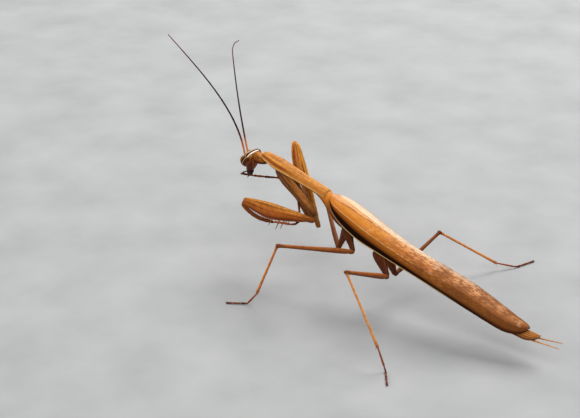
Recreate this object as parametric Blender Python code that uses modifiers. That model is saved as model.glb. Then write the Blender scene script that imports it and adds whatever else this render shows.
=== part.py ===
"""A praying mantis at life size: a slender, brown, long-winged male standing on its middle and
hind legs, with its left foreleg folded and its right foreleg raised to clean it at the mouth.

Sizes are in millimetres and degrees, and make_object() turns them into metres. While a piece is
shaped, x is the animal's left, y runs from head to tail from the rear edge of the pronotum, and
z is the height above the floor. A side is +1 for left and -1 for right. A bearing is 0 straight
ahead, 90 straight out to that side and 180 straight back, and a climb is the angle above level.
"""

import math

import bmesh
import bpy
from mathutils import Matrix, Vector

MM = 0.001
SIDES = {"left": 1, "right": -1}

# Body line
PRONOTUM_AXIS_HEIGHT = 21.9
PRONOTUM_PITCH = 14.9

# Folded wings, as (y, half width, height of the shoulders, depth of the outer margin below them)
WING_STATIONS = (
    (0.6, 2.25, 21.90, 1.7),
    (3.0, 2.75, 21.30, 2.3),
    (6.0, 3.08, 20.25, 3.1),
    (10.0, 3.22, 18.65, 3.4),
    (14.0, 3.12, 17.05, 3.0),
    (18.0, 2.95, 15.65, 2.8),
    (24.0, 2.80, 13.90, 2.7),
    (30.0, 2.76, 12.50, 2.9),
    (36.0, 2.70, 11.00, 3.0),
    (42.0, 2.45, 8.95, 2.5),
    (46.0, 2.05, 7.65, 2.2),
    (48.6, 1.65, 7.10, 1.15),
    (50.2, 1.25, 6.90, 0.65),
    (51.0, 0.80, 6.85, 0.45),
)

# Pronotum, as (y, half width, half height)
PRONOTUM_STATIONS = (
    (-18.2, 0.85, 0.60),
    (-17.7, 1.30, 0.90),
    (-16.0, 1.75, 1.10),
    (-13.8, 2.20, 1.28),
    (-11.6, 2.05, 1.22),
    (-6.0, 1.78, 1.15),
    (-1.2, 1.65, 1.15),
    (-0.3, 1.45, 0.98),
)

# Thorax and abdomen under the wings, as (y, half width, depth of top and of underside below the back)
THORAX_STATIONS = (
    (0.0, 1.25, 0.9, 4.0),
    (1.0, 1.60, 0.9, 4.9),
    (4.0, 1.90, 0.9, 5.7),
    (8.5, 2.15, 0.9, 5.2),
    (12.5, 2.15, 0.9, 5.0),
    (15.5, 1.95, 0.9, 4.3),
    (16.6, 1.50, 1.2, 3.6),
)
ABDOMEN_STATIONS = (
    (17.0, 1.40, 1.2, 3.5),
    (18.0, 1.85, 1.0, 3.8),
    (24.0, 1.90, 1.0, 3.7),
    (32.0, 1.85, 1.0, 3.6),
    (38.0, 1.70, 1.5, 3.6),
    (44.0, 1.35, 2.1, 3.6),
    (48.0, 1.00, 2.0, 3.1),
    (49.2, 0.50, 2.1, 2.8),
)

# Wings
TEGMEN_OVERLAP = 0.40
TEGMEN_SEAM = 0.4
TEGMEN_THICKNESS = 0.5
TEGMEN_CAMBER = 0.35
TEGMEN_SHOULDER = 0.94
TEGMEN_FIELD_STEPS = 5
TEGMEN_LENGTH_STEPS = 18
TEGMEN_SIDE = (
    # share of the half width, share of the outer margin's depth
    (1.00, 0.22),
    (1.02, 0.60),
    (1.03, 1.00),
)
HINDWING_INNER = 0.15
HINDWING_THICKNESS = 0.5
HINDWING_STATIONS = (
    # y, width of one side, height of its top
    (41.0, 1.10, 8.30),
    (44.0, 1.05, 7.25),
    (46.5, 0.90, 6.50),
    (49.0, 0.95, 6.00),
    (50.4, 1.35, 6.00),
    (51.5, 1.25, 6.00),
    (52.5, 0.85, 6.00),
    (53.1, 0.35, 6.00),
)

# Head
HEAD_PIVOT = (0.0, -21.6, 25.0)
HEAD_STATIONS = (
    # height from the pivot, half width, half depth, shift to the front
    (-3.0, 0.95, 0.80, 0.25),
    (-2.3, 1.28, 1.05, 0.20),
    (-1.2, 1.80, 1.30, 0.02),
    (0.0, 2.25, 1.48, -0.05),
    (0.8, 2.15, 1.38, -0.15),
    (1.25, 1.70, 1.08, -0.28),
    (1.5, 0.90, 0.55, -0.35),
)
EYE_CENTRE = (2.2, 0.0, -0.1)
EYE_RADII = (0.92, 1.15, 1.35)
EYE_LEAN = 18.0
MOUTH_STATIONS = (
    # height from the head's pivot, half width, half depth, shift to the front
    (-4.7, 0.30, 0.28, 0.30),
    (-4.4, 0.62, 0.55, 0.30),
    (-3.8, 0.80, 0.72, 0.28),
    (-3.3, 0.78, 0.70, 0.25),
)
PALP_ROUTE = (
    # from the head's pivot, on the left side
    (0.45, -0.5, -3.9),
    (0.95, -0.95, -3.75),
    (1.35, -1.5, -4.05),
    (1.45, -1.75, -4.6),
)
PALP_RADIUS = 0.25
PALP_TIP_SHARE = 0.7
NECK_STATIONS = (
    # y, half width, height of its top and underside
    (-19.75, 0.75, 26.20, 24.75),
    (-19.2, 0.95, 26.45, 24.60),
    (-18.7, 0.95, 26.40, 24.60),
    (-18.35, 0.90, 25.75, 24.60),
    (-17.5, 0.70, 25.20, 24.55),
    (-16.8, 0.35, 24.95, 24.65),
)

# Feelers and tail feelers
ANTENNA_ROOT = (0.55, -1.7, 0.4)
ANTENNA_LENGTHS = {"left": 32.5, "right": 29.0}
ANTENNA_BEARINGS = {"left": (22.0, 30.0), "right": (30.0, 46.0)}
ANTENNA_CLIMBS = {"left": (86.0, 48.6), "right": (60.0, 37.0)}
ANTENNA_RADIUS = 0.27
ANTENNA_STEPS = 22
ANTENNA_EASE = 2.5
CERCUS_ROOT = (0.55, 49.9, 4.55)
CERCUS_TIP = {"left": (1.0, 57.9, 5.1), "right": (-1.0, 57.6, 5.3)}
CERCUS_RADIUS = 0.3
CERCUS_STATIONS = ((0.0, 0.6), (0.1, 1.0), (0.4, 1.0), (0.8, 0.8), (1.0, 0.5))

# Forelegs
FORE_HIP = (1.2, -12.3, 24.2)
FORE_COXA_END = {"left": (2.85, -2.6, 17.5), "right": (-1.25, -5.9, 13.9)}
FORE_COXA_STATIONS = (
    # share of the length, half depth, half breadth
    (0.0, 1.25, 0.60),
    (0.05, 1.60, 0.80),
    (0.15, 1.50, 0.82),
    (0.35, 1.10, 0.75),
    (0.6, 0.95, 0.70),
    (0.85, 0.82, 0.62),
    (0.97, 0.62, 0.50),
    (1.0, 0.35, 0.30),
)
FORE_FEMUR_LENGTH = 19.2
FORE_FEMUR_ROOT = {"left": (3.25, -1.76, 16.4), "right": (-2.4, -4.4, 11.85)}
FORE_FEMUR = {"left": (1.4, -2.6), "right": (15.2, 64.3)}
FORE_UNDERSIDES = {"left": (0.0, -0.3, -1.0), "right": (-0.34, -0.94, 0.0)}
FORE_FEMUR_STATIONS = (
    # distance from the hip end, height of the back edge, depth of the spined edge, half breadth
    (0.0, 0.35, 0.35, 0.35),
    (0.5, 0.60, 0.60, 0.55),
    (1.3, 0.60, 0.65, 0.50),
    (2.4, 0.80, 0.95, 0.58),
    (3.4, 0.95, 1.20, 0.62),
    (6.4, 1.10, 1.75, 0.70),
    (9.0, 1.35, 2.20, 0.74),
    (11.2, 1.50, 2.50, 0.74),
    (12.8, 1.50, 2.50, 0.70),
    (14.4, 1.42, 2.20, 0.62),
    (17.0, 1.20, 1.40, 0.52),
    (18.6, 0.85, 0.90, 0.45),
    (19.2, 0.42, 0.45, 0.30),
)
FORE_KNEE_DEPTH = 1.1
FORE_KNEE_GAP = 0.1
FORE_TIBIA_LENGTH = 8.2
FORE_TIBIA_BOW = 0.95
FORE_TIBIA_FOLD = 14.0
FORE_TIBIA_STATIONS = (
    # share of the length, radius
    (0.0, 0.30),
    (0.05, 0.42),
    (0.25, 0.45),
    (0.5, 0.45),
    (0.75, 0.42),
    (0.95, 0.38),
)
FORE_TIBIA_HOOK = (
    # distance past the shaft, distance in towards the femur, radius
    (0.5, 0.0, 0.30),
    (0.95, 0.25, 0.22),
    (1.25, 0.6, 0.14),
)
FORE_TARSUS_ROUTES = {
    "left": ((4.6, -11.2, 13.6), (4.55, -8.95, 14.0), (4.3, -6.85, 14.2), (3.4, -5.3, 14.2),
             (2.1, -5.2, 15.2), (1.95, -6.1, 17.0), (2.3, -6.8, 19.0)),
    "right": ((-4.3, -12.7, 20.15), (-3.8, -16.0, 19.95), (-2.5, -19.0, 19.8), (-1.5, -22.0, 19.65),
              (-0.6, -23.7, 19.8), (0.2, -24.9, 20.3)),
}
TARSUS_RADIUS = 0.27
FORE_TARSUS_TIP_SHARE = 0.8
FEMUR_SPINES = (8.6, 9.8, 10.9, 12.0, 13.4, 15.0, 16.6)
FEMUR_SPINE_LENGTH = 1.3
SPINE_RADIUS = 0.2
SPINE_TIP_RADIUS = 0.07
SPINE_SPLAY = 28.0
SPINE_RAKE = 0.25
SPINE_DEPTH_SHARE = 0.8
SPINE_BREADTH_SHARE = 0.45
SPINE_FOOT = 0.35

# Walking legs: hip and trochanter, then the (bearing, climb) of each piece and its length
WALKING_LEGS = {
    "mid": {
        "femur": 17.0, "tibia": 13.4, "metatarsus": 3.6, "toes": 5.0, "coxa_base": 1.15,
        "left": {"hip": (2.5, 7.25, 14.7), "trochanter": (3.757, 9.357, 12.42), "femur": (50.0, 11.2),
                 "tibia": (13.4, -69.1), "metatarsus": 28.0, "toes": 32.4},
        "right": {"hip": (-1.8, 3.8, 13.8), "trochanter": (-2.089, 1.377, 8.319), "femur": (42.2, 19.8),
                  "tibia": (101.5, -53.5), "metatarsus": 100.0, "toes": 95.0},
    },
    "hind": {
        "femur": 16.7, "tibia": 16.4, "metatarsus": 5.0, "toes": 5.7, "coxa_base": 2.0,
        "left": {"hip": (2.0, 15.3, 11.95), "trochanter": (4.123, 18.577, 9.57), "femur": (88.8, 26.45),
                 "tibia": (162.3, -48.2), "metatarsus": 180.0, "toes": 127.0},
        "right": {"hip": (-1.75, 14.4, 11.05), "trochanter": (-2.634, 16.106, 6.434), "femur": (93.8, 14.4),
                  "tibia": (133.8, -32.8), "metatarsus": 133.8, "toes": 108.2},
    },
}
COXA_TAPER = ((0, 0.7), (0.06, 1), (0.3, 0.5), (0.65, 0.12), (0.85, 0.0), (0.95, -0.05), (1, -0.3))
COXA_TIP_RADIUS = 0.55
COXA_BASE_DEPTH = 0.85
COXA_LEAST_RADIUS = 0.3
FEMUR_RADII = {"mid": (0.60, 0.46, 0.36), "hind": (0.58, 0.48, 0.36)}
TIBIA_RADII = (0.36, 0.30, 0.32)
FEMUR_START = 0.95
TIBIA_START = 0.7
JOINT_GAP = 0.3
LIMB_END_GAP = 0.1
LIMB_SHARES = (0.0, 0.02, 0.3, 0.7, 0.98, 1.0)
LIMB_ROUNDING = 0.6
HEEL_REACH = 0.3
SOLE_SHARES = (0.08, 0.5, 0.93, 1.0)
TARSUS_TAPER = (0.9, 1.0, 1.0, 1.0, 1.0, 0.6)
SOLE_HEIGHT_SHARE = 0.85

COLOURS = {
    "back": ((0.62, 0.33, 0.14), 0.5),
    "wing": ((0.55, 0.30, 0.15), 0.5),
    "leg": ((0.42, 0.17, 0.06), 0.45),
    "dark": ((0.16, 0.07, 0.04), 0.5),
    "eye": ((0.30, 0.20, 0.08), 0.25),
}


def clear_scene():
    for obj in list(bpy.data.objects):
        bpy.data.objects.remove(obj)


def make_collection(name):
    collection = bpy.data.collections.new(name)
    bpy.context.scene.collection.children.link(collection)
    return collection


def make_material(name, colour, roughness):
    material = bpy.data.materials.new(name)
    material.use_nodes = True
    shader = material.node_tree.nodes["Principled BSDF"]
    shader.inputs["Base Color"].default_value = (*colour, 1.0)
    shader.inputs["Roughness"].default_value = roughness
    shader.inputs["Metallic"].default_value = 0.0
    return material


def heading(side, bearing, climb):
    """The unit vector of a bearing and a climb, in degrees, on one side of the body."""
    turn, rise = math.radians(bearing), math.radians(climb)
    level = math.cos(rise)
    return Vector((side * math.sin(turn) * level, -math.cos(turn) * level, math.sin(rise)))


def slope(degrees):
    return math.tan(math.radians(degrees))


def smooth_at(stations, y):
    """The other values of the stations at y, by a smooth curve through their rows."""
    last = len(stations) - 1
    for index in range(last):
        low, high = stations[index], stations[index + 1]
        if y <= high[0] or index == last - 1:
            break
    before, after = stations[max(index - 1, 0)], stations[min(index + 2, last)]
    gap = high[0] - low[0]
    share = (y - low[0]) / gap
    values = []
    for column in range(1, len(low)):
        first = (high[column] - before[column]) / (high[0] - before[0]) * gap
        second = (after[column] - low[column]) / (after[0] - low[0]) * gap
        cubic = share ** 3
        square = share ** 2
        values.append(
            low[column] * (2 * cubic - 3 * square + 1) + first * (cubic - 2 * square + share)
            + high[column] * (3 * square - 2 * cubic) + second * (cubic - square)
        )
    return values


def back_height(y):
    """Height of the wings' shoulders at y."""
    return smooth_at(WING_STATIONS, max(y, WING_STATIONS[0][0]))[1]


def superellipse(count, half_width, half_height, power=2.4):
    """Points round a rounded box, as (across, up) from its centre."""
    points = []
    for step in range(count):
        angle = 2 * math.pi * (step + 0.5) / count
        across, up = math.cos(angle), math.sin(angle)
        points.append((
            half_width * math.copysign(abs(across) ** (2 / power), across),
            half_height * math.copysign(abs(up) ** (2 / power), up),
        ))
    return points


def mesh_object(name, bm, material):
    bmesh.ops.recalc_face_normals(bm, faces=bm.faces[:])
    mesh = bpy.data.meshes.new(name)
    bm.to_mesh(mesh)
    bm.free()
    mesh.materials.append(material)
    mesh.shade_smooth()
    mesh.set_sharp_from_angle(angle=math.radians(40))
    obj = bpy.data.objects.new(name, mesh)
    PARTS.objects.link(obj)
    return obj


def loft(name, rings, material):
    """A closed body through rings of points that all have the same count."""
    bm = bmesh.new()
    made = [[bm.verts.new(Vector(point) * MM) for point in ring] for ring in rings]
    count = len(rings[0])
    for ring, following in zip(made, made[1:]):
        for step in range(count):
            beside = (step + 1) % count
            bm.faces.new((ring[step], ring[beside], following[beside], following[step]))
    bm.faces.new(made[0])
    bm.faces.new(made[-1])
    return mesh_object(name, bm, material)


def tube(name, points, radii, material, resolution=2):
    """A tapered round rod along the points, as a closed mesh."""
    curve = bpy.data.curves.new(name, "CURVE")
    curve.dimensions = "3D"
    curve.bevel_depth = MM
    curve.bevel_resolution = resolution
    curve.use_fill_caps = True
    spline = curve.splines.new("POLY")
    spline.points.add(len(points) - 1)
    for knot, point, radius in zip(spline.points, points, radii):
        knot.co = (*(Vector(point) * MM), 1.0)
        knot.radius = radius
    guide = bpy.data.objects.new(name + "_guide", curve)
    PARTS.objects.link(guide)
    bpy.context.view_layer.update()
    graph = bpy.context.evaluated_depsgraph_get()
    mesh = bpy.data.meshes.new_from_object(guide.evaluated_get(graph))
    bpy.data.objects.remove(guide)
    bm = bmesh.new()
    bm.from_mesh(mesh)
    bpy.data.meshes.remove(mesh)
    bmesh.ops.remove_doubles(bm, verts=bm.verts[:], dist=0.001 * MM)
    return mesh_object(name, bm, material)


def ellipsoid(name, centre, radii, lean, material, collection):
    """A stretched ball that leans over by some degrees about the body's length."""
    bm = bmesh.new()
    bmesh.ops.create_uvsphere(bm, u_segments=20, v_segments=12, radius=1.0)
    place = Matrix.Translation(Vector(centre) * MM)
    turn = Matrix.Rotation(math.radians(lean), 4, "Y")
    size = Matrix.Diagonal((*(Vector(radii) * MM), 1.0))
    bm.transform(place @ turn @ size)
    obj = mesh_object(name, bm, material)
    PARTS.objects.unlink(obj)
    collection.objects.link(obj)
    return obj


def hide_cutter(obj):
    obj.hide_render = True
    obj.display_type = "WIRE"


def boolean(obj, other, operation):
    modifier = obj.modifiers.new(other.name, "BOOLEAN")
    modifier.operation = operation
    modifier.solver = "EXACT"
    modifier.object = other


def body_rings(stations, count=14):
    """Rings under the wings, hung below the back's line."""
    rings = []
    for y, half_width, top, bottom in stations:
        middle = back_height(y) - (top + bottom) / 2
        outline = superellipse(count, half_width, (bottom - top) / 2)
        rings.append([(x, y, middle + z) for x, z in outline])
    return rings


def pronotum_rings(extra):
    """Rings along the pronotum, each larger all round by the extra."""
    rings = []
    for y, half_width, half_height in PRONOTUM_STATIONS:
        middle = PRONOTUM_AXIS_HEIGHT - y * slope(PRONOTUM_PITCH)
        outline = superellipse(16, half_width + extra, half_height + extra)
        rings.append([(x, y, middle + z) for x, z in outline])
    return rings


def make_pronotum():
    """The long shield, and the room that the fore coxae leave for it."""
    loft("pronotum", pronotum_rings(0.0), MATERIALS["back"])
    room = loft("pronotum_room", pronotum_rings(JOINT_GAP), MATERIALS["back"])
    PARTS.objects.unlink(room)
    CUTTERS.objects.link(room)
    hide_cutter(room)
    return room


def make_tegmen(name, side):
    """One forewing: a flat field over the back, a shoulder and a steep outer margin."""
    first, last = WING_STATIONS[0][0], WING_STATIONS[-1][0]
    bm = bmesh.new()
    rows = []
    for step in range(TEGMEN_LENGTH_STEPS + 1):
        y = first + (last - first) * math.sin(0.5 * math.pi * step / TEGMEN_LENGTH_STEPS)
        half, top, depth = smooth_at(WING_STATIONS, y)
        inner = -TEGMEN_OVERLAP * half if side > 0 else TEGMEN_OVERLAP * half + TEGMEN_SEAM
        shoulder = half * TEGMEN_SHOULDER
        shares = [k / TEGMEN_FIELD_STEPS for k in range(TEGMEN_FIELD_STEPS + 1)]
        across = [inner + (shoulder - inner) * share for share in shares]
        row = [(x, TEGMEN_CAMBER * (1 - (x / shoulder) ** 2) * min(half, 1.0)) for x in across]
        row += [(half * wide, -depth * deep) for wide, deep in TEGMEN_SIDE]
        rows.append([bm.verts.new(Vector((side * x, y, top + z)) * MM) for x, z in row])
    for row, following in zip(rows, rows[1:]):
        for k in range(len(row) - 1):
            bm.faces.new((row[k], row[k + 1], following[k + 1], following[k]))
    wing = mesh_object(name, bm, MATERIALS["wing"])
    faces_up = wing.data.polygons[0].normal.z > 0
    solidify = wing.modifiers.new("thickness", "SOLIDIFY")
    solidify.thickness = TEGMEN_THICKNESS * MM
    solidify.offset = -1.0 if faces_up else 1.0


def make_hindwing(name, side):
    """The folded hind wing, of which only the tip passes the forewings."""
    rings = []
    for y, width, top in HINDWING_STATIONS:
        inner, outer = side * HINDWING_INNER, side * (HINDWING_INNER + width)
        under = top - HINDWING_THICKNESS
        rings.append([(inner, y, top), (outer, y, top), (outer, y, under), (inner, y, under)])
    loft(name, rings, MATERIALS["wing"])


def head_rings(stations, count):
    """Level rings round the head's upright axis."""
    rings = []
    for height, half_width, half_depth, shift in stations:
        outline = superellipse(count, half_width, half_depth, power=2.2)
        rings.append([Vector(HEAD_PIVOT) + Vector((x, y - shift, height)) for x, y in outline])
    return rings


def make_head():
    head = loft("head", head_rings(HEAD_STATIONS, 18), MATERIALS["back"])
    for word, side in SIDES.items():
        centre = Vector(HEAD_PIVOT) + Vector((side * EYE_CENTRE[0], EYE_CENTRE[1], EYE_CENTRE[2]))
        lean = side * EYE_LEAN
        ellipsoid("eye_" + word, centre, EYE_RADII, lean, MATERIALS["eye"], PARTS)
        room = [radius + JOINT_GAP for radius in EYE_RADII]
        socket = ellipsoid("socket_" + word, centre, room, lean, MATERIALS["eye"], CUTTERS)
        hide_cutter(socket)
        boolean(head, socket, "DIFFERENCE")


def make_mouthparts():
    """The lips and jaws in one, with a pair of short feelers."""
    mouth = loft("mouthparts", head_rings(MOUTH_STATIONS, 12), MATERIALS["dark"])
    for word, side in SIDES.items():
        points = [Vector(HEAD_PIVOT) + Vector((side * x, y, z)) for x, y, z in PALP_ROUTE]
        radii = [PALP_RADIUS] * (len(points) - 1) + [PALP_RADIUS * PALP_TIP_SHARE]
        palp = tube("palp_" + word, points, radii, MATERIALS["dark"])
        PARTS.objects.unlink(palp)
        CUTTERS.objects.link(palp)
        hide_cutter(palp)
        boolean(mouth, palp, "UNION")


def make_neck():
    rings = []
    for y, half_width, top, bottom in NECK_STATIONS:
        outline = superellipse(12, half_width, (top - bottom) / 2)
        rings.append([(x, y, (top + bottom) / 2 + z) for x, z in outline])
    loft("neck", rings, MATERIALS["back"])


def make_antenna(word, side):
    """A feeler that leans over evenly from its first direction to its last."""
    place = Vector(HEAD_PIVOT) + Vector((side * ANTENNA_ROOT[0], ANTENNA_ROOT[1], ANTENNA_ROOT[2]))
    points = [place]
    for step in range(ANTENNA_STEPS):
        ease = 1 - (1 - (step + 0.5) / ANTENNA_STEPS) ** ANTENNA_EASE
        bearing, climb = (
            first + (last - first) * ease
            for first, last in (ANTENNA_BEARINGS[word], ANTENNA_CLIMBS[word])
        )
        place = place + heading(side, bearing, climb) * (ANTENNA_LENGTHS[word] / ANTENNA_STEPS)
        points.append(place)
    radii = [ANTENNA_RADIUS] * len(points)
    tube("antenna_" + word, points, radii, MATERIALS["dark"])


def make_cercus(word, side):
    root, tip = Vector((side * CERCUS_ROOT[0], *CERCUS_ROOT[1:])), Vector(CERCUS_TIP[word])
    points = [root.lerp(tip, part) for part, _ in CERCUS_STATIONS]
    radii = [CERCUS_RADIUS * share for _, share in CERCUS_STATIONS]
    tube("cercus_" + word, points, radii, MATERIALS["leg"])


def frame_of(direction, hint):
    """The along, down and across axes of a limb, where hint points towards its underside."""
    along = direction.normalized()
    down = (hint - along * hint.dot(along)).normalized()
    return along, down, along.cross(down)


def make_fore_coxa(word, side, room):
    """The long first piece of a foreleg, its broad upper end hollowed to clear the pronotum."""
    hip = Vector((side * FORE_HIP[0], FORE_HIP[1], FORE_HIP[2]))
    end = Vector(FORE_COXA_END[word])
    along, down, across = frame_of(end - hip, Vector((0, 0, -1)))
    rings = []
    for part, deep, broad in FORE_COXA_STATIONS:
        outline = superellipse(10, broad, deep, power=2.2)
        centre = hip.lerp(end, part)
        rings.append([centre + across * x + down * z for x, z in outline])
    coxa = loft("fore_coxa_" + word, rings, MATERIALS["leg"])
    boolean(coxa, room, "DIFFERENCE")


def spine(bm, root, direction, length):
    """Adds one pointed spine to bm, rooted a little inside the limb."""
    whole = length + SPINE_FOOT
    middle = root + direction * (whole / 2 - SPINE_FOOT)
    turn = direction.to_track_quat("Z", "Y").to_matrix().to_4x4()
    place = Matrix.Translation(middle * MM) @ turn
    bmesh.ops.create_cone(
        bm, cap_ends=True, segments=5, radius1=SPINE_RADIUS * MM, radius2=SPINE_TIP_RADIUS * MM,
        depth=whole * MM, matrix=place,
    )


def femur_depth(distance):
    """Depth of the spined edge and half breadth of the fore femur at a distance from its hip end."""
    for first, last in zip(FORE_FEMUR_STATIONS, FORE_FEMUR_STATIONS[1:]):
        if first[0] <= distance <= last[0]:
            share = (distance - first[0]) / (last[0] - first[0])
            return (first[2] + (last[2] - first[2]) * share, first[3] + (last[3] - first[3]) * share)
    return FORE_FEMUR_STATIONS[-1][2:]


def make_fore_femur(word, side, axes):
    """The trochanter and femur in one, with its double row of spines."""
    root = Vector(FORE_FEMUR_ROOT[word])
    along, down, across = axes
    rings = []
    for distance, top, bottom, half_breadth in FORE_FEMUR_STATIONS:
        middle = root + along * distance + down * ((bottom - top) / 2)
        outline = superellipse(10, half_breadth, (top + bottom) / 2, power=2.1)
        rings.append([middle + across * x + down * z for x, z in outline])
    femur = loft("fore_femur_" + word, rings, MATERIALS["leg"])
    bm = bmesh.new()
    for row in (1, -1):
        for distance in FEMUR_SPINES:
            depth, half_breadth = femur_depth(distance)
            foot = root + along * distance + down * (depth * SPINE_DEPTH_SHARE)
            foot += across * (row * half_breadth * SPINE_BREADTH_SHARE)
            splay = math.radians(SPINE_SPLAY)
            lean = down * math.cos(splay) + across * (row * math.sin(splay)) + along * SPINE_RAKE
            spine(bm, foot, lean.normalized(), FEMUR_SPINE_LENGTH)
    spines = mesh_object("femur_spines_" + word, bm, MATERIALS["leg"])
    PARTS.objects.unlink(spines)
    CUTTERS.objects.link(spines)
    hide_cutter(spines)
    boolean(femur, spines, "UNION")


def make_fore_tibia(word, axes):
    """The bowed tibia, folded back under the femur and ending in a hooked claw."""
    along, down, _ = axes
    reach = FORE_FEMUR_LENGTH + FORE_KNEE_GAP
    knee = Vector(FORE_FEMUR_ROOT[word]) + along * reach + down * FORE_KNEE_DEPTH
    fold = math.radians(FORE_TIBIA_FOLD)
    reach = along * -math.cos(fold) + down * math.sin(fold)
    outward = along * math.sin(fold) + down * math.cos(fold)
    points, radii = [], []
    for part, radius in FORE_TIBIA_STATIONS:
        bow = FORE_TIBIA_BOW * 4 * part * (1 - part)
        points.append(knee + reach * (FORE_TIBIA_LENGTH * part) + outward * bow)
        radii.append(radius)
    hook = points[-1]
    for forward, inward, radius in FORE_TIBIA_HOOK:
        points.append(hook + reach * forward - outward * inward)
        radii.append(radius)
    tube("fore_tibia_" + word, points, radii, MATERIALS["leg"])


def make_fore_tarsus(word):
    route = [Vector(point) for point in FORE_TARSUS_ROUTES[word]]
    radii = [TARSUS_RADIUS] * (len(route) - 1) + [TARSUS_RADIUS * FORE_TARSUS_TIP_SHARE]
    tube("fore_tarsus_" + word, route, radii, MATERIALS["dark"])


def make_foreleg(word, side, room):
    direction = heading(side, *FORE_FEMUR[word])
    axes = frame_of(direction, Vector(FORE_UNDERSIDES[word]))
    make_fore_coxa(word, side, room)
    make_fore_femur(word, side, axes)
    make_fore_tibia(word, axes)
    make_fore_tarsus(word)


def make_limb(name, start, end, radii, first_gap, last_gap):
    """A tapered round limb between two joints, short of each by a gap, with rounded ends."""
    direction = (end - start).normalized()
    first, last = start + direction * first_gap, end - direction * last_gap
    middle = (radii[0] + radii[1]) / 2
    ends = (radii[0] * LIMB_ROUNDING, radii[2] * LIMB_ROUNDING)
    sizes = (ends[0], radii[0], middle, radii[1], radii[2], ends[1])
    tube(name, [first.lerp(last, share) for share in LIMB_SHARES], sizes, MATERIALS["leg"])


def make_tarsus(name, ankle, heel, toe):
    """The sloping first joint and the flat-soled rest of a foot."""
    step = (heel - ankle).normalized()
    points = [ankle + step * JOINT_GAP, heel - step * HEEL_REACH]
    points += [heel.lerp(toe, share) for share in SOLE_SHARES]
    radii = [share * TARSUS_RADIUS for share in TARSUS_TAPER]
    foot = tube(name, points, radii, MATERIALS["dark"])
    for vertex in foot.data.vertices:
        vertex.co.z = max(vertex.co.z, 0.0)


def make_coxa(name, hip, knee, base):
    """A walking leg's coxa: broad where it meets the body, tapering to the trochanter."""
    along, down, across = frame_of(knee - hip, Vector((1.0 if hip.x > 0 else -1.0, 0, 0)))
    length = (knee - hip).length - JOINT_GAP
    rings = []
    for part, share in COXA_TAPER:
        broad = COXA_TIP_RADIUS + (base - COXA_TIP_RADIUS) * share
        deep = COXA_TIP_RADIUS + (COXA_BASE_DEPTH - COXA_TIP_RADIUS) * share
        centre = hip + along * (length * part)
        least = COXA_LEAST_RADIUS
        outline = superellipse(10, max(broad, least), max(deep, least), power=2.2)
        rings.append([centre + across * x + down * z for x, z in outline])
    loft(name, rings, MATERIALS["leg"])


def make_walking_leg(pair, word, side):
    sizes = WALKING_LEGS[pair]
    turns = sizes[word]
    trochanter = Vector(turns["trochanter"])
    knee = trochanter + heading(side, *turns["femur"]) * sizes["femur"]
    ankle = knee + heading(side, *turns["tibia"]) * sizes["tibia"]
    sole = TARSUS_RADIUS * SOLE_HEIGHT_SHARE
    drop = math.degrees(math.asin((ankle.z - sole) / sizes["metatarsus"]))
    heel = ankle + heading(side, turns["metatarsus"], -drop) * sizes["metatarsus"]
    toe = heel + heading(side, turns["toes"], 0) * sizes["toes"]
    make_coxa(f"{pair}_coxa_{word}", Vector(turns["hip"]), trochanter, sizes["coxa_base"])
    make_limb(f"{pair}_femur_{word}", trochanter, knee, FEMUR_RADII[pair], FEMUR_START,
              LIMB_END_GAP)
    make_limb(f"{pair}_tibia_{word}", knee, ankle, TIBIA_RADII, TIBIA_START,
              LIMB_END_GAP)
    make_tarsus(f"{pair}_tarsus_{word}", ankle, heel, toe)


def centre_over_floor():
    """Moves everything so that the origin is under the middle of the whole animal."""
    bpy.context.view_layer.update()
    graph = bpy.context.evaluated_depsgraph_get()
    corners = []
    for obj in PARTS.objects:
        for corner in obj.evaluated_get(graph).bound_box:
            corners.append(obj.matrix_world @ Vector(corner))
    shift = [(min(c[axis] for c in corners) + max(c[axis] for c in corners)) / 2 for axis in (0, 1)]
    for obj in [*PARTS.objects, *CUTTERS.objects]:
        obj.location -= Vector((shift[0], shift[1], 0))


clear_scene()
PARTS = make_collection("praying_mantis")
CUTTERS = make_collection("cutters")
MATERIALS = {name: make_material(name, *look) for name, look in COLOURS.items()}
make_head()
make_mouthparts()
make_neck()
pronotum_room = make_pronotum()
loft("thorax", body_rings(THORAX_STATIONS), MATERIALS["leg"])
loft("abdomen", body_rings(ABDOMEN_STATIONS), MATERIALS["leg"])
make_tegmen("tegmen_left", 1)
make_tegmen("tegmen_right", -1)
for word, side in SIDES.items():
    make_hindwing("hindwing_" + word, side)
    make_antenna(word, side)
    make_cercus(word, side)
    make_foreleg(word, side, pronotum_room)
    for pair in WALKING_LEGS:
        make_walking_leg(pair, word, side)
centre_over_floor()
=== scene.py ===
import math

import bpy
from mathutils import Matrix, Vector


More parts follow.
